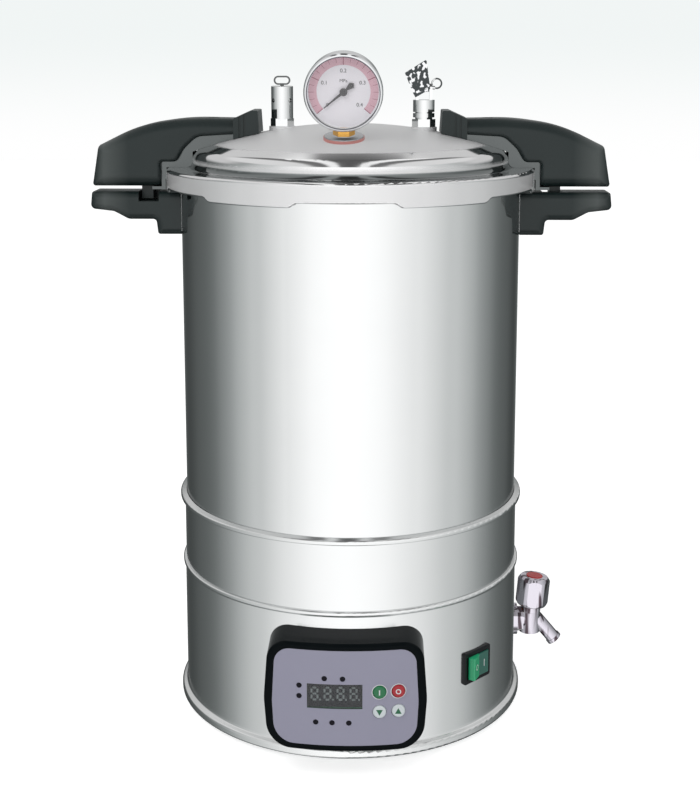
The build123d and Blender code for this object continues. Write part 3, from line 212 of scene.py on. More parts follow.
def addWorld():
    world = bpy.data.worlds.new("studioWorld")
    bpy.context.scene.world = world
    world.use_nodes = True
    tree = world.node_tree
    x, y, z = textureParts(tree, "Generated")
    sideways = combine(tree, "ABSOLUTE", x)
    angle = combine(tree, "ARCTAN2", sideways, combine(tree, "MULTIPLY", y, -1.0))
    turn = combine(tree, "DIVIDE", angle, pi)

    def zone(value, label):
        return addRange(tree, value, *studio[label], smooth=True)

    brightest = studio["reflectedRight"][0][1]
    right = addRamp(tree, turn, roomStops(studio["reflectedRight"], brightest), "CARDINAL")
    left = addRamp(tree, turn, roomStops(studio["reflectedLeft"], brightest), "CARDINAL")
    room = mixColors(tree, combine(tree, "LESS_THAN", x), right, left)
    steep = combine(tree, "ABSOLUTE", z)
    strip = combine(tree, "MULTIPLY", zone(steep, "stripHeight"), zone(turn, "stripTurn"))
    stripped = addRange(tree, strip, 0.0, 1.0, 1.0, studio["stripLevel"])
    room = mixColors(tree, 1.0, room, stripped, "MULTIPLY")
    ceiling = combine(tree, "MULTIPLY", zone(z, "ceilingHeight"), zone(turn, "ceilingTurn"))
    room = mixColors(tree, ceiling, room, studio["ceilingColor"])
    stripes = addRamp(tree, sideways, [(position, (level,) * 3) for position, level in studio["stripes"]])
    room = mixColors(tree, zone(z, "stripesHeight"), room, stripes)
    room = mixColors(tree, 1.0, room, (brightest,) * 3, "MULTIPLY")
    ray = tree.nodes.new("ShaderNodeLightPath").outputs
    lighting = mixColors(tree, ray["Is Glossy Ray"], studio["fill"], room)
    backdrop = mixColors(tree, zone(z, "backdropHeight"), studio["backdrop"], studio["backdropTop"])
    direct = combine(tree, "MAXIMUM", ray["Is Camera Ray"], ray["Is Transmission Ray"])
    background = tree.nodes["Background"]
    tree.links.new(mixColors(tree, direct, lighting, backdrop), background.inputs["Color"])
    background.inputs["Strength"].default_value = 1.0


def addLamp(name, place, power, size):
    data = bpy.data.lights.new(name, "AREA")
    data.energy = power
    data.size = size
    lamp = bpy.data.objects.new(name, data)
    lamp.location = place
    aim = Vector(studio["lampTarget"]) - Vector(place)
    lamp.rotation_euler = aim.to_track_quat("-Z", "Y").to_euler()
    lamp.visible_glossy = False
    bpy.context.scene.collection.objects.link(lamp)


def addFloor():
    reach = studio["floorReach"]
    mesh = bpy.data.meshes.new("studioFloor")
    mesh.from_pydata([(-reach, -reach, 0), (reach, -reach, 0), (reach, reach, 0), (-reach, reach, 0)],
                     [], [(0, 1, 2, 3)])
    floor = bpy.data.objects.new("studioFloor", mesh)
    bpy.context.scene.collection.objects.link(floor)
    material, tree, surface = startMaterial("paleFloor")
    surface.inputs["Base Color"].default_value = studio["floorColor"] + (1,)
    surface.inputs["Roughness"].default_value = studio["floorRoughness"]
    ray = tree.nodes.new("ShaderNodeLightPath").outputs
    lift = combine(tree, "MULTIPLY", ray["Is Camera Ray"], studio["floorLift"])
    surface.inputs["Emission Color"].default_value = (1, 1, 1, 1)
    tree.links.new(lift, surface.inputs["Emission Strength"])
    mesh.materials.append(material)
    floor.visible_glossy = False


addWorld()
addLamp("keyLamp", studio["keyPlace"], studio["keyPower"], studio["keySize"])
addLamp("sideLamp", studio["sidePlace"], studio["sidePower"], studio["sideSize"])
addFloor()
print("studio ready")

# Places of the gauge's dial and of the rocker, from their joints
needle = joints["gauge_needle"]
gaugeLean = atan2(needle["axis"][2], needle["axis"][1])
gaugeFrame = (Matrix.Translation(needle["pos_m"]) @ Matrix.Rotation(gaugeLean, 4, "X")
              @ Matrix.Rotation(pi / 2, 4, "X"))
rockerPivot = joints["power_rocker"]["pos_m"]
rockerTurn = atan2(rockerPivot[0], -rockerPivot[1])


# Wear and grain that the materials share

noiseSpread = (0.35, 0.68)     # most of a noise's values lie between these
toneSpread = (0.3, 0.7)
wear = {
    "metalToneScale": 11.0,
    "metalTone": 0.05,
    "plasticToneScale": 18.0,
    "wipeScale": 9.0,
    "glassWipeScale": 30.0,
    "glassWipe": 0.03,
    "wipeStretch": (1.0, 1.0, 0.35),
    "lineStretch": (0.012, 0.012, 1.0),
    "lineDepth": 0.0002,
    "skinScale": 22.0,
    "grainDepth": 0.0004,
    "coatRoughness": 0.12,
}


def startGroup(name, inputs, outputs):
    group = bpy.data.node_groups.new(name, "ShaderNodeTree")
    for label, value in inputs.items():
        socket = group.interface.new_socket(label, in_out="INPUT", socket_type="NodeSocketFloat")
        socket.default_value = value
    for label, kind in outputs.items():
        group.interface.new_socket(label, in_out="OUTPUT", socket_type="NodeSocket" + kind)
    return group, group.nodes.new("NodeGroupInput"), group.nodes.new("NodeGroupOutput")


def addStretchedNoise(tree, scale, stretch, detail, rough):
    # Noise on Object coordinates, scaled differently along each axis.
    new, link = tree.nodes.new, tree.links.new
    place = new("ShaderNodeTexCoord")
    mapping = new("ShaderNodeMapping")
    mapping.inputs["Scale"].default_value = stretch
    link(place.outputs["Object"], mapping.inputs["Vector"])
    noise = new("ShaderNodeTexNoise")
    noise.inputs["Detail"].default_value = detail
    noise.inputs["Roughness"].default_value = rough
    link(mapping.outputs[0], noise.inputs["Vector"])
    setSocket(tree, noise.inputs["Scale"], scale)
    return noise.outputs["Fac"]


def makeWipeMarks():
    # Broad faint smears left by wiping, as a roughness between Low and High.
    group, given, out = startGroup(
        "wipeMarks", {"Scale": 9.0, "Low": 0.08, "High": 0.14}, {"Roughness": "Float"})
    noise = addStretchedNoise(group, given.outputs["Scale"], wear["wipeStretch"], detail=4.0, rough=0.6)
    spread = addRange(group, noise, *noiseSpread, given.outputs["Low"], given.outputs["High"])
    group.links.new(spread, out.inputs["Roughness"])
    return group


def makeDrawnLines():
    # Hair-fine lines round the sheet, left by rolling and polishing.
    group, given, out = startGroup("drawnLines", {"Scale": 900.0}, {"Height": "Float"})
    noise = addStretchedNoise(group, given.outputs["Scale"], wear["lineStretch"], detail=2.0, rough=0.5)
    group.links.new(noise, out.inputs["Height"])
    return group


def makeMouldGrain():
    # Fine pebbled skin of moulded plastic, with a little roughness change.
    group, given, out = startGroup(
        "mouldGrain", {"Scale": 900.0, "Low": 0.3, "High": 0.42}, {"Height": "Float", "Roughness": "Float"})
    new, link = group.nodes.new, group.links.new
    place = new("ShaderNodeTexCoord")
    cells = new("ShaderNodeTexVoronoi")
    link(place.outputs["Object"], cells.inputs["Vector"])
    link(given.outputs["Scale"], cells.inputs["Scale"])
    link(cells.outputs["Distance"], out.inputs["Height"])
    broad = addStretchedNoise(group, wear["skinScale"], (1, 1, 1), detail=3.0, rough=0.6)
    spread = addRange(group, broad, *noiseSpread, given.outputs["Low"], given.outputs["High"])
    link(spread, out.inputs["Roughness"])
    return group


def makeToneShift():
    # Slow light and dark change over a surface, as a factor near one.
    group, given, out = startGroup("toneShift", {"Scale": 14.0, "Amount": 0.08}, {"Factor": "Float"})
    noise = addStretchedNoise(group, given.outputs["Scale"], (1, 1, 1), detail=4.0, rough=0.6)
    low = combine(group, "SUBTRACT", 1.0, given.outputs["Amount"])
    group.links.new(addRange(group, noise, *toneSpread, low, 1.0), out.inputs["Factor"])
    return group


groups = {
    "WipeMarks": makeWipeMarks(),
    "DrawnLines": makeDrawnLines(),
    "MouldGrain": makeMouldGrain(),
    "ToneShift": makeToneShift(),
}


def useGroup(tree, name, **values):
    node = tree.nodes.new("ShaderNodeGroup")
    node.node_tree = groups[name]
    for label, value in values.items():
        node.inputs[label].default_value = value
    return node


def addBump(tree, surface, height, strength, distance):
    bump = tree.nodes.new("ShaderNodeBump")
    bump.inputs["Strength"].default_value = strength
    bump.inputs["Distance"].default_value = distance
    tree.links.new(height, bump.inputs["Height"])
    tree.links.new(bump.outputs["Normal"], surface.inputs["Normal"])


def blendBase(tree, surface, share, first, second):
    # Base colour that goes from the first to the second.
    tree.links.new(mixColors(tree, share, first, second), surface.inputs["Base Color"])


def shiftTone(tree, surface, color, scale, amount):
    # Base colour times the slow tone change.
    shift = useGroup(tree, "ToneShift", Scale=scale, Amount=amount)
    blendBase(tree, surface, shift.outputs["Factor"], tuple(0.5 * channel for channel in color), color)


def wipeSurface(tree, surface, low, high, scale, added=None):
    # Roughness with wipe marks, and an added amount where one is given.
    roughness = useGroup(tree, "WipeMarks", Scale=scale, Low=low, High=high).outputs["Roughness"]
    if added is not None:
        roughness = combine(tree, "ADD", roughness, added)
    tree.links.new(roughness, surface.inputs["Roughness"])


def polishedMetal(name, color, low, high, lines=0.0, scale=wear["wipeScale"]):
    material, tree, surface = startMaterial(name)
    surface.inputs["Metallic"].default_value = 1.0
    shiftTone(tree, surface, color, wear["metalToneScale"], wear["metalTone"])
    wipeSurface(tree, surface, low, high, scale)
    if lines:
        drawn = useGroup(tree, "DrawnLines")
        addBump(tree, surface, drawn.outputs["Height"], lines, wear["lineDepth"])
    return material


def mouldedPlastic(name, color, low, high, grain, scale, coat=0.0, tone=0.10, shine=0.5):
    material, tree, surface = startMaterial(name)
    surface.inputs["Specular IOR Level"].default_value = shine
    shiftTone(tree, surface, color, wear["plasticToneScale"], tone)
    skin = useGroup(tree, "MouldGrain", Scale=scale, Low=low, High=high)
    tree.links.new(skin.outputs["Roughness"], surface.inputs["Roughness"])
    if coat:
        surface.inputs["Coat Weight"].default_value = coat
        surface.inputs["Coat Roughness"].default_value = wear["coatRoughness"]
    addBump(tree, surface, skin.outputs["Height"], grain, wear["grainDepth"])
    return material


def clearGlass(name, color, roughness, ior=1.46):
    # Light reaches what lies behind the glass as if the glass weren't there.
    material, tree, surface = startMaterial(name)
    ray = tree.nodes.new("ShaderNodeLightPath").outputs
    lit = combine(tree, "MAXIMUM", ray["Is Shadow Ray"], ray["Is Diffuse Ray"])
    through = tree.nodes.new("ShaderNodeBsdfTransparent")
    through.inputs["Color"].default_value = color + (1,)
    either = tree.nodes.new("ShaderNodeMixShader")
    tree.links.new(lit, either.inputs[0])
    tree.links.new(surface.outputs[0], either.inputs[1])
    tree.links.new(through.outputs[0], either.inputs[2])
    tree.links.new(either.outputs[0], tree.nodes["Material Output"].inputs["Surface"])
    surface.inputs["Base Color"].default_value = color + (1,)
    surface.inputs["Transmission Weight"].default_value = 1.0
    surface.inputs["IOR"].default_value = ior
    wipeSurface(tree, surface, roughness, roughness + wear["glassWipe"], wear["glassWipeScale"])
    return material


def axisDistance(tree):
    # Distance from the pot's axis.
    return addLength(tree, *textureParts(tree)[:2])


# Lid: satin dome, polished shoulder, duller upright walls, and painted shade darkening the groove at their
# foot
lidLook = {
    "color": (0.82, 0.82, 0.825),
    "wiped": (0.06, 0.11),     # lowest and highest roughness
    "domeEdge": 0.1160,        # radius where the satin dome gives way to the polished shoulder
    "domeBlend": 0.004,
    "domeRoughness": 0.42,
    "domeMetallic": 0.55,
    "wallMetallic": 0.45,      # the pressed walls are duller than the shoulders
    "wallSteepness": (0.25, 0.03),     # upright part of the normal where a wall begins and is full
    # painted shade: colour of the darkened groove
    "grooveShadeColor": (0.20, 0.215, 0.215),
    "grooveRadius": 0.1362,    # where the wall meets the flange, inside this radius
    "grooveTop": 0.4676,       # and below this height
    "grooveBlend": 0.0012,
}


def lidSteel():
    material, tree, surface = startMaterial("lidSteel")
    radius = axisDistance(tree)
    height = textureParts(tree)[2]
    narrow = addRange(tree, radius, lidLook["grooveRadius"], lidLook["grooveRadius"] - lidLook["grooveBlend"])
    low = addRange(tree, height, lidLook["grooveTop"], lidLook["grooveTop"] - lidLook["grooveBlend"])
    groove = combine(tree, "MULTIPLY", narrow, low)
    # painted shade: the groove's base colour is darkened
    blendBase(tree, surface, groove, lidLook["color"], lidLook["grooveShadeColor"])
    dome = addRange(tree, radius, lidLook["domeEdge"], lidLook["domeEdge"] - lidLook["domeBlend"])
    satin = combine(tree, "MULTIPLY", dome, lidLook["domeRoughness"])
    wipeSurface(tree, surface, *lidLook["wiped"], wear["wipeScale"], satin)
    upright = combine(tree, "ABSOLUTE", textureParts(tree, "Normal")[2])
    wall = addRange(tree, upright, *lidLook["wallSteepness"])
    wallMetal = addRange(tree, wall, 0.0, 1.0, 1.0, lidLook["wallMetallic"])
    domeMetal = addRange(tree, dome, 0.0, 1.0, 1.0, lidLook["domeMetallic"])
    tree.links.new(combine(tree, "MULTIPLY", wallMetal, domeMetal), surface.inputs["Metallic"])
    return material


# Pot: polished outside and satin inside
potLook = {
    "color": (0.80, 0.81, 0.81),
    "wiped": (0.06, 0.11),
    "wallMiddle": 0.1412,      # radius halfway through the pot's wall
    "wallBlend": 0.0004,
    "insideRoughness": 0.30,
    "insideMetallic": 0.55,
}


def potSteel():
    material, tree, surface = startMaterial("potSteel")
    shiftTone(tree, surface, potLook["color"], wear["metalToneScale"], wear["metalTone"])
    wall = potLook["wallMiddle"]
    inside = addRange(tree, axisDistance(tree), wall, wall - potLook["wallBlend"])
    satin = combine(tree, "MULTIPLY", inside, potLook["insideRoughness"])
    wipeSurface(tree, surface, *potLook["wiped"], wear["wipeScale"], satin)
    metal = addRange(tree, inside, 0.0, 1.0, 1.0, potLook["insideMetallic"])
    tree.links.new(metal, surface.inputs["Metallic"])
    return material


# Gauge's bezel: chrome ring, with painted shade darkening the inner edge that faces the glass
bezelLook = {
    "color": (0.76, 0.77, 0.78),
    "wiped": (0.05, 0.10),
    "wipeScale": 40.0,
    # painted shade on the bezel's inner edge
    "innerShadeColor": (0.10, 0.095, 0.11),
    "innerRadius": 0.0290,
    "innerBlend": 0.0004,
}


def bezelChrome(leanFrame):
    material = polishedMetal(
        "gaugeBezelChrome", bezelLook["color"], *bezelLook["wiped"], scale=bezelLook["wipeScale"])
    tree, surface = shaderOf(material)
    x, y, z = textureParts(tree)
    dialUp = leanFrame.to_3x3().col[1]
    centre = leanFrame.translation
    sideways = combine(tree, "ADD", x, -centre[0])
    alongY = combine(tree, "MULTIPLY", combine(tree, "ADD", y, -centre[1]), dialUp[1])
    alongZ = combine(tree, "MULTIPLY", combine(tree, "ADD", z, -centre[2]), dialUp[2])
    radius = addLength(tree, sideways, combine(tree, "ADD", alongY, alongZ))
    edge = bezelLook["innerRadius"]
    inner = addRange(tree, radius, edge, edge - bezelLook["innerBlend"])
    # painted shade: the inner edge is darkened in the base colour
    blendBase(tree, surface, inner, bezelLook["color"], bezelLook["innerShadeColor"])
    return material


# Vent's lever: stamped plate with bright worn patches, and painted shade darkening its hollows
leverLook = {
    # painted shade in the hollows
    "hollow": (0.055, 0.062, 0.064),
    "worn": (0.80, 0.81, 0.82),
    "stretch": (1.0, 1.0, 0.8),
    "scale": 380.0,
    "edges": (0.53, 0.59),     # noise values where a patch begins and is full
    "roughness": 0.22,
    "relief": 0.5,
    "depth": 0.0006,
}


def stampedSteel():
    material, tree, surface = startMaterial("stampedSteel")
    surface.inputs["Metallic"].default_value = 1.0
    patches = addStretchedNoise(tree, leverLook["scale"], leverLook["stretch"], detail=1.0, rough=0.4)
    share = addRange(tree, patches, *leverLook["edges"])
    # painted shade: dark where the bump is low, in the hollows
    blendBase(tree, surface, share, leverLook["hollow"], leverLook["worn"])
    surface.inputs["Roughness"].default_value = leverLook["roughness"]
    addBump(tree, surface, patches, leverLook["relief"], leverLook["depth"])
    return material


# Vent's body: bright, with a wire ring of dark spring steel beside it
ventLook = {
    "color": (0.78, 0.79, 0.79),
    "wiped": (0.05, 0.10),
    "wipeScale": 60.0,
    "ringColor": (0.10, 0.11, 0.11),
    "ringX": 0.0708,           # the ring lies past this X
    "ringBlend": 0.0004,
}


def ventSteel():
    material, tree, surface = startMaterial("ventSteel")
    surface.inputs["Metallic"].default_value = 1.0
    sideways = textureParts(tree)[0]
    ring = addRange(tree, sideways, ventLook["ringX"], ventLook["ringX"] + ventLook["ringBlend"])
    blendBase(tree, surface, ring, ventLook["color"], ventLook["ringColor"])
    wipeSurface(tree, surface, *ventLook["wiped"], ventLook["wipeScale"])
    return material


# Handles: black plastic with a painted highlight, a paler stripe across each handle's outer end
handleLook = {
    "color": (0.012, 0.020, 0.020),
    "skin": (0.28, 0.36, 0.04, 1400.0),    # roughness from and to, the grain's strength and fineness
    "shine": 0.35,
    # painted highlight: its colour, and below it where it lies
    "paintedHighlight": (0.070, 0.082, 0.080),
    "highlightFrom": 0.1850,      # distances from the lid's axis
    "highlightPeak": 0.2060,
    "highlightTo": 0.2150,
}


def handlePlastic():
    material = mouldedPlastic(
        "handleBlack", handleLook["color"], *handleLook["skin"], shine=handleLook["shine"])
    tree, surface = shaderOf(material)
    outward = combine(tree, "ABSOLUTE", textureParts(tree)[0])
    rising = addRange(tree, outward, handleLook["highlightFrom"], handleLook["highlightPeak"])
    falling = addRange(tree, outward, handleLook["highlightTo"], handleLook["highlightPeak"])
    paintedHighlight = combine(tree, "MULTIPLY", rising, falling)
    # painted highlight in the base colour
    blendBase(tree, surface, paintedHighlight, handleLook["color"], handleLook["paintedHighlight"])
    return material


# Tap: bright plating with painted reflections, the dark upright streaks of a small curved mirror
tapLook = {
    "bright": (0.66, 0.63, 0.70),
    # painted reflection: colour of the dark streaks
    "dark": (0.10, 0.075, 0.09),
    "wiped": (0.06, 0.12),
    "wipeScale": 50.0,
    "stretch": (1.0, 1.0, 0.10),
    "scale": 190.0,
    "edges": (0.52, 0.60),     # noise values where a streak begins and is full
}


def streakedChrome():
    material = polishedMetal("tapChrome", tapLook["bright"], *tapLook["wiped"], scale=tapLook["wipeScale"])
    tree, surface = shaderOf(material)
    reflectedStreaks = addStretchedNoise(tree, tapLook["scale"], tapLook["stretch"], detail=1.5, rough=0.45)
    share = addRange(tree, reflectedStreaks, *tapLook["edges"])
    # painted reflection: dark streaks in the base colour
    blendBase(tree, surface, share, tapLook["bright"], tapLook["dark"])
    return material


# Rocker: painted light and shade, its lit side paler than its shaded side, split at its middle
rockerLook = {
    "color": (0.012, 0.42, 0.19),
    # painted light and shade: lit and shaded copies of the green
    "lit": (0.020, 0.44, 0.19),
    "pressed": (0.020, 0.13, 0.095),
    "split": (-0.0004, 0.0008),    # across the rocker, where the pressed side begins and is full
    "skin": (0.14, 0.22, 0.02, 1400.0),
    "coat": 0.4,
}


def rockerGreen(azimuth):
    material = mouldedPlastic(
        "rockerGreen", rockerLook["color"], *rockerLook["skin"], coat=rockerLook["coat"])
    tree, surface = shaderOf(material)
    x, y = textureParts(tree)[:2]
    alongX = combine(tree, "MULTIPLY", x, cos(azimuth))
    alongY = combine(tree, "MULTIPLY", y, sin(azimuth))
    along = combine(tree, "ADD", alongX, alongY)
    pressed = addRange(tree, along, *rockerLook["split"])
    # painted light and shade across the rocker's two halves
    blendBase(tree, surface, pressed, rockerLook["lit"], rockerLook["pressed"])
    return material


# One finish for each material slot. Metals have a colour and the lowest and highest roughness.
# Plastics have these too, and then the strength of the grain and how fine it is.
finishes = {
    "polished_steel": polishedMetal("polishedSteel", (0.80, 0.81, 0.81), 0.06, 0.11),
    "drum_steel": polishedMetal("drumSteel", (0.79, 0.80, 0.80), 0.16, 0.22, lines=0.03),
    "inner_steel": polishedMetal("innerSteel", (0.68, 0.69, 0.69), 0.20, 0.32, lines=0.08),
    "zinc_steel": polishedMetal("zincSteel", (0.58, 0.59, 0.60), 0.34, 0.50, scale=40.0),
    "handle_plastic": handlePlastic(),
    "seal_rubber": mouldedPlastic("sealSilicone", (0.66, 0.67, 0.69), 0.40, 0.52, 0.05, 700.0),
    "foot_rubber": mouldedPlastic("footRubber", (0.018, 0.018, 0.018), 0.62, 0.78, 0.12, 800.0),
    "pink_rubber": mouldedPlastic("pinkSilicone", (0.58, 0.24, 0.22), 0.38, 0.50, 0.06, 900.0),
    "brass": polishedMetal("brightBrass", (0.78, 0.42, 0.10), 0.16, 0.26, lines=0.04, scale=60.0),
    "bezel_chrome": polishedMetal("bezelChrome", (0.76, 0.77, 0.78), 0.05, 0.10, scale=40.0),
    "valve_chrome": polishedMetal("valveChrome", (0.78, 0.79, 0.79), 0.05, 0.10, scale=60.0),
    "dial": mouldedPlastic("dialEnamel", (0.95, 0.92, 0.98), 0.36, 0.44, 0.01, 500.0, tone=0.03),
    "pointer": mouldedPlastic("pointerEnamel", (0.014, 0.012, 0.018), 0.30, 0.40, 0.02, 1500.0),
    "gauge_glass": clearGlass("gaugeGlass", (1.0, 1.0, 1.0), 0.0),
    "box_plastic": mouldedPlastic("boxBlack", (0.004, 0.006, 0.007), 0.18, 0.26, 0.02, 1600.0, shine=0.03),
    "panel_film": mouldedPlastic("panelFilm", (0.335, 0.33, 0.43), 0.36, 0.46, 0.02, 1800.0, tone=0.04),
    "window_plastic": clearGlass("smokedWindow", (0.84, 0.85, 0.87), 0.02, ior=1.22),
    "module_plastic": mouldedPlastic("moduleGrey", (0.009, 0.011, 0.014), 0.40, 0.50, 0.03, 1200.0),
    "digit_plastic": mouldedPlastic("digitGrey", (0.33, 0.37, 0.35), 0.40, 0.50, 0.03, 1500.0),
    "board": mouldedPlastic("boardGreen", (0.03, 0.16, 0.08), 0.30, 0.42, 0.05, 900.0),
    "lamp_plastic": mouldedPlastic("lampDark", (0.006, 0.005, 0.010), 0.12, 0.2, 0.01, 1500.0, shine=0.10),
    "green_button": mouldedPlastic("buttonGreen", (0.008, 0.17, 0.06), 0.24, 0.34, 0.02, 1600.0),
    "red_button": mouldedPlastic("buttonRed", (0.42, 0.010, 0.020), 0.24, 0.34, 0.02, 1600.0),
    "white_button": mouldedPlastic("buttonWhite", (0.72, 0.78, 0.80), 0.26, 0.36, 0.02, 1600.0),
    "switch_plastic": mouldedPlastic(
        "switchBlack", (0.008, 0.010, 0.011), 0.16, 0.24, 0.02, 1600.0, shine=0.2),
    "rocker_plastic": rockerGreen(rockerTurn),
    "tap_chrome": streakedChrome(),
    "cap_plastic": mouldedPlastic("capRed", (0.48, 0.012, 0.014), 0.16, 0.26, 0.03, 1500.0),
    "gland_plastic": mouldedPlastic("glandBlack", (0.016, 0.017, 0.018), 0.40, 0.52, 0.08, 1200.0),
    "ceramic": mouldedPlastic("blockCream", (0.62, 0.60, 0.52), 0.40, 0.55, 0.05, 900.0),
}
# Nodes whose finish differs from the rest of their slot
ownFinishes = {
    "lid": lidSteel(),
    "chamber_pot": potSteel(),
    "gauge_bezel": bezelChrome(gaugeFrame),
    "gauge_washer": polishedMetal("washerChrome", (0.42, 0.43, 0.44), 0.10, 0.18, scale=50.0),
    "lid_brackets": polishedMetal("bracketSteel", (0.12, 0.13, 0.13), 0.18, 0.28),
    "vent_lever": stampedSteel(),
    "vent_valve_body": ventSteel(),
    "safety_valve_stem": polishedMetal("springWire", (0.12, 0.125, 0.125), 0.16, 0.26, scale=60.0),
}
slotOf = {entry["node"]: entry["material_slot"] for entry in frame["record"]["subparts"]}
# The photo's steel shows no mirror image of these
unmirrored = ("control", "display", "indicator", "start_", "stop_", "up_", "down_", "tap_", "gauge_")
for name, node in nodes.items():
    for slot in node.material_slots:
        slot.material = ownFinishes.get(name, finishes[slotOf[name]])
    if name.startswith(unmirrored):
        node.visible_glossy = False
print("materials set on", len(nodes), "nodes")


# Shared mesh tools

def meshFromGrid(name, points, closed=False):
    # points[u, v] is an array of 3-vectors, and each cell of the grid becomes one quad.
    # A closed grid joins its last u to its first.
    rows, columns = points.shape[:2]
    index = np.arange(rows * columns).reshape(rows, columns)
    if closed:
        index = np.vstack([index, index[:1]])
    corners = [index[:-1, :-1], index[1:, :-1], index[1:, 1:], index[:-1, 1:]]
    quads = np.stack(corners, axis=-1).reshape(-1, 4)
    mesh = bpy.data.meshes.new(name)
    mesh.from_pydata(points.reshape(-1, 3).tolist(), [], quads.tolist())
    return mesh


def meshFromCorners(name, corners):
    # One flat face.
    mesh = bpy.data.meshes.new(name)
    mesh.from_pydata(corners, [], [range(len(corners))])
    return mesh


def addPiece(name, mesh, body, material):
    piece = bpy.data.objects.new(name, mesh)
    bpy.context.scene.collection.objects.link(piece)
    mesh.materials.append(material)
    piece.visible_glossy = False
    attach(piece, body)


def joinedMesh(name, meshes):
    # One mesh from several, by stacking their points and shifting their faces.
    points, faces = [], []
    for mesh in meshes:
        shift = len(points)
        points += [tuple(vertex.co) for vertex in mesh.vertices]
        faces += [[shift + i for i in polygon.vertices] for polygon in mesh.polygons]
    whole = bpy.data.meshes.new(name)
    whole.from_pydata(points, [], faces)
    return whole


def letterMesh(words, size, depth=0.00002):
    # Words as a thin solid in the XY plane, centred, facing +Z.
    curve = bpy.data.curves.new("letters", "FONT")
    curve.body = words
    curve.size = size
    curve.extrude = depth
    curve.align_x = "CENTER"
    curve.align_y = "CENTER"
    holder = bpy.data.objects.new("letters", curve)
    bpy.context.scene.collection.objects.link(holder)
    bpy.context.view_layer.update()
    mesh = bpy.data.meshes.new_from_object(holder.evaluated_get(bpy.context.evaluated_depsgraph_get()))
    bpy.data.objects.remove(holder)
    return mesh


# Gauge dial: printed scale, ticks and plain numbers, on the leaned dial plane
dialPrint = {
    "faceLift": 0.00427,       # dial's front, in front of the needle's pivot
    "bandLift": 0.00003,       # print in front of the dial's front
    "numberLift": 0.00005,
    "tickLift": 0.00006,
    "bandInner": 0.0209,
    "bandOuter": 0.0272,
    "bandSteps": 97,
    "zeroAngle": 220.0,
    "sweep": 260.0,
    "labels": ["0", "0.1", "0.2", "0.3", "0.4"],
    "labelRadius": 0.0163,
    "labelSize": 0.0042,
    "unit": "MPa",
    "unitHeight": 0.0085,
    "unitSize": 0.0036,
    "smallTicks": 5,           # from one long tick to the next
    "smallTickInset": 0.0022,
    "smallTickHalf": 0.00014,  # half the width
    "longTickHalf": 0.00030,
    "bandColor": (0.80, 0.47, 0.56),
    "bandTone": 0.08,
    "tickColor": (0.32, 0.03, 0.09),
    "skin": (0.36, 0.44, 0.01, 500.0),
}


def dialPoints(radius, angle, lift):
    # Points at a radius and angle on the dial plane, a lift in front of it, in the object's frame.
    depth = np.full(np.shape(angle * radius), dialPrint["faceLift"] + lift)
    flat = np.stack([radius * np.cos(angle), radius * np.sin(angle), depth], axis=-1)
    return flat @ np.array(gaugeFrame.to_3x3()).T + np.array(gaugeFrame.translation)


def buildDialBand():
    angles = np.radians(dialPrint["zeroAngle"] - np.linspace(0, dialPrint["sweep"], dialPrint["bandSteps"]))
    radii = np.array([dialPrint["bandInner"], dialPrint["bandOuter"]])
    return meshFromGrid("gaugeScaleBand", dialPoints(radii[None, :], angles[:, None], dialPrint["bandLift"]))


def buildDialTicks():
    count = (len(dialPrint["labels"]) - 1) * dialPrint["smallTicks"]
    meshes = []
    for i in range(count + 1):
        angle = radians(dialPrint["zeroAngle"] - dialPrint["sweep"] * i / count)
        long = i % dialPrint["smallTicks"] == 0
        inner = dialPrint["bandInner"] + (0 if long else dialPrint["smallTickInset"])
        half = dialPrint["longTickHalf"] if long else dialPrint["smallTickHalf"]
        radii = np.array([inner, dialPrint["bandOuter"]])
        spread = np.array([-half, half])
        points = dialPoints(radii[:, None], angle + spread[None, :] / radii[:, None], dialPrint["tickLift"])
        meshes.append(meshFromGrid("tick", points))
    return joinedMesh("gaugeTicks", meshes)


def buildDialNumbers():
    lift = dialPrint["faceLift"] + dialPrint["numberLift"]
    meshes = []
    for i, label in enumerate(dialPrint["labels"]):
        angle = radians(dialPrint["zeroAngle"] - dialPrint["sweep"] * i / (len(dialPrint["labels"]) - 1))
        place = (dialPrint["labelRadius"] * cos(angle), dialPrint["labelRadius"] * sin(angle), lift)
        mesh = letterMesh(label, dialPrint["labelSize"])
        mesh.transform(gaugeFrame @ Matrix.Translation(place))
        meshes.append(mesh)
    unit = letterMesh(dialPrint["unit"], dialPrint["unitSize"])
    unit.transform(gaugeFrame @ Matrix.Translation((0, dialPrint["unitHeight"], lift)))
    return joinedMesh("gaugeNumbers", meshes + [unit])


bandPink = mouldedPlastic("scalePink", dialPrint["bandColor"], *dialPrint["skin"], tone=dialPrint["bandTone"])
tickCrimson = mouldedPlastic("tickCrimson", dialPrint["tickColor"], *dialPrint["skin"])
addPiece("gaugeScaleBand", buildDialBand(), "cover", bandPink)
addPiece("gaugeTicks", buildDialTicks(), "cover", tickCrimson)
addPiece("gaugeNumbers", buildDialNumbers(), "cover", finishes["pointer"])
print("gauge dial printed")

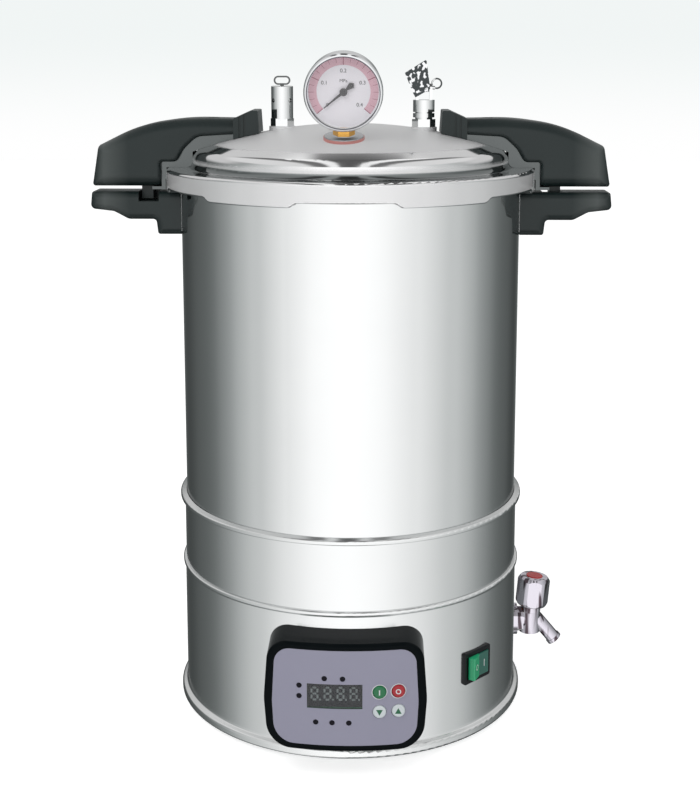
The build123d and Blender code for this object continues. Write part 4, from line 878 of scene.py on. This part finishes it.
# Signs on the control panel: pale rings, a bar, a ring and two arrows, all without words
panelPrint = {
    "faceRadius": 0.2100,      # the panel's gentle curve, and its front's distance from the axis
    "frontY": 0.1760,
    "proud": 0.00025,
    "buttonProud": 0.0016,
    "printLift": 0.00003,
    "rimInner": 0.00542,
    "rimOuter": 0.00605,
    "rimSteps": 64,
    "markSize": 0.0021,
    "barShare": 0.22,          # bar's half width, as a share of the mark's size
    "ringShare": 0.62,         # ring's inner radius
    "ringSteps": 40,
    "arrowSize": 0.0026,
    "arrowShare": 0.8,         # arrow's foot below its middle
    "paper": (0.78, 0.80, 0.82),
    "arrowColor": (0.010, 0.130, 0.055),
    "skin": (0.36, 0.46, 0.01, 1500.0),
}
ink = mouldedPlastic("signWhite", panelPrint["paper"], *panelPrint["skin"])
arrowGreen = mouldedPlastic("arrowGreen", panelPrint["arrowColor"], *panelPrint["skin"])


def panelDepth(x):
    # Y of the panel's face: the front of an upright cylinder.
    radius = panelPrint["faceRadius"]
    return -(np.sqrt(radius ** 2 - x ** 2) - radius + panelPrint["frontY"])


def nodeCentre(name):
    points = np.array([nodes[name].matrix_world @ vertex.co for vertex in nodes[name].data.vertices])
    return (points.min(axis=0) + points.max(axis=0)) / 2


def printedRing(name, centre, inner, outer, steps, depthOf):
    # Ring about the centre's X and Z, each point at the depth that depthOf gives for its X.
    angles = np.linspace(0, 2 * pi, steps, endpoint=False)
    radii = np.array([inner, outer])
    x = centre[0] + radii[None, :] * np.cos(angles)[:, None]
    z = centre[2] + radii[None, :] * np.sin(angles)[:, None]
    return meshFromGrid(name, np.stack([x, depthOf(x), z], axis=-1), closed=True)


def printedShape(name, centre, corners, depth):
    # Flat polygon from corners about the centre's X and Z, facing the front.
    return meshFromCorners(name, [(centre[0] + x, depth, centre[2] + z) for x, z in corners])


def addRim(body, centre):
    lift = panelPrint["proud"] + panelPrint["printLift"]
    rim = printedRing(body + "Rim", centre, panelPrint["rimInner"], panelPrint["rimOuter"],
                      panelPrint["rimSteps"], lambda x: panelDepth(x) - lift)
    addPiece(body + "Rim", rim, "base", ink)


def addButtonSigns():
    size, mark = panelPrint["arrowSize"], panelPrint["markSize"]
    bar, foot = mark * panelPrint["barShare"], size * panelPrint["arrowShare"]
    for body in ("start", "stop", "up", "down"):
        centre = nodeCentre(body + "_button")
        front = float(panelDepth(np.array(centre[0]))) - panelPrint["buttonProud"] - panelPrint["printLift"]
        name = body + "Sign"
        if body == "start":
            addRim(body, centre)
            corners = [(-bar, -mark), (bar, -mark), (bar, mark), (-bar, mark)]
            addPiece(name, printedShape(name, centre, corners, front), body, ink)
        elif body == "stop":
            addRim(body, centre)
            ring = printedRing(name, centre, mark * panelPrint["ringShare"], mark,
                               panelPrint["ringSteps"], lambda x: np.full(x.shape, front))
            addPiece(name, ring, body, ink)
        else:
            way = 1 if body == "up" else -1
            arrow = [(-size * way, -foot * way), (size * way, -foot * way), (0, size * way)]
            addPiece(name, printedShape(name, centre, arrow, front), body, arrowGreen)


addButtonSigns()
print("panel signs printed")

# Bar and ring on the rocker's two faces
rockerPrint = {
    "tilt": 11.0,              # degrees, left end out
    "halfLength": 0.0118,
    "endHeight": 0.0070,
    "middleHeight": 0.0048,
    "printLift": 0.00004,
    "markSize": 0.0030,
    "markWidth": 0.0007,
    "ringShare": 0.8,          # the ring is this much smaller than the bar
    "ringSteps": 48,
}


def rockerFace(side):
    # Frame on one face of the rocker's shallow V, its Z pointing out of the face.
    half, rise = rockerPrint["halfLength"], rockerPrint["endHeight"] - rockerPrint["middleHeight"]
    middle = (rockerPrint["endHeight"] + rockerPrint["middleHeight"]) / 2 + rockerPrint["printLift"]
    turn = rockerTurn + radians(rockerPrint["tilt"])
    return (Matrix.Translation(rockerPivot) @ Matrix.Rotation(turn, 4, "Z")
            @ Matrix.Translation((side * half / 2, -middle, 0))
            @ Matrix.Rotation(-side * atan2(rise, half), 4, "Z") @ Matrix.Rotation(pi / 2, 4, "X"))


def addRockerMarks():
    size, width = rockerPrint["markSize"], rockerPrint["markWidth"]
    half = width / 2
    corners = [(-half, -size, 0), (half, -size, 0), (half, size, 0), (-half, size, 0)]
    bar = meshFromCorners("rockerBar", corners)
    bar.transform(rockerFace(1))
    angles = np.linspace(0, 2 * pi, rockerPrint["ringSteps"], endpoint=False)
    radii = np.array([size - width, size]) * rockerPrint["ringShare"]
    x = radii[None, :] * np.cos(angles)[:, None]
    y = radii[None, :] * np.sin(angles)[:, None]
    ring = meshFromGrid("rockerRing", np.stack([x, y, np.zeros(x.shape)], axis=-1), closed=True)
    ring.transform(rockerFace(-1))
    addPiece("rockerBar", bar, "switch_rocker", ink)
    addPiece("rockerRing", ring, "switch_rocker", ink)


addRockerMarks()
print("rocker marked")
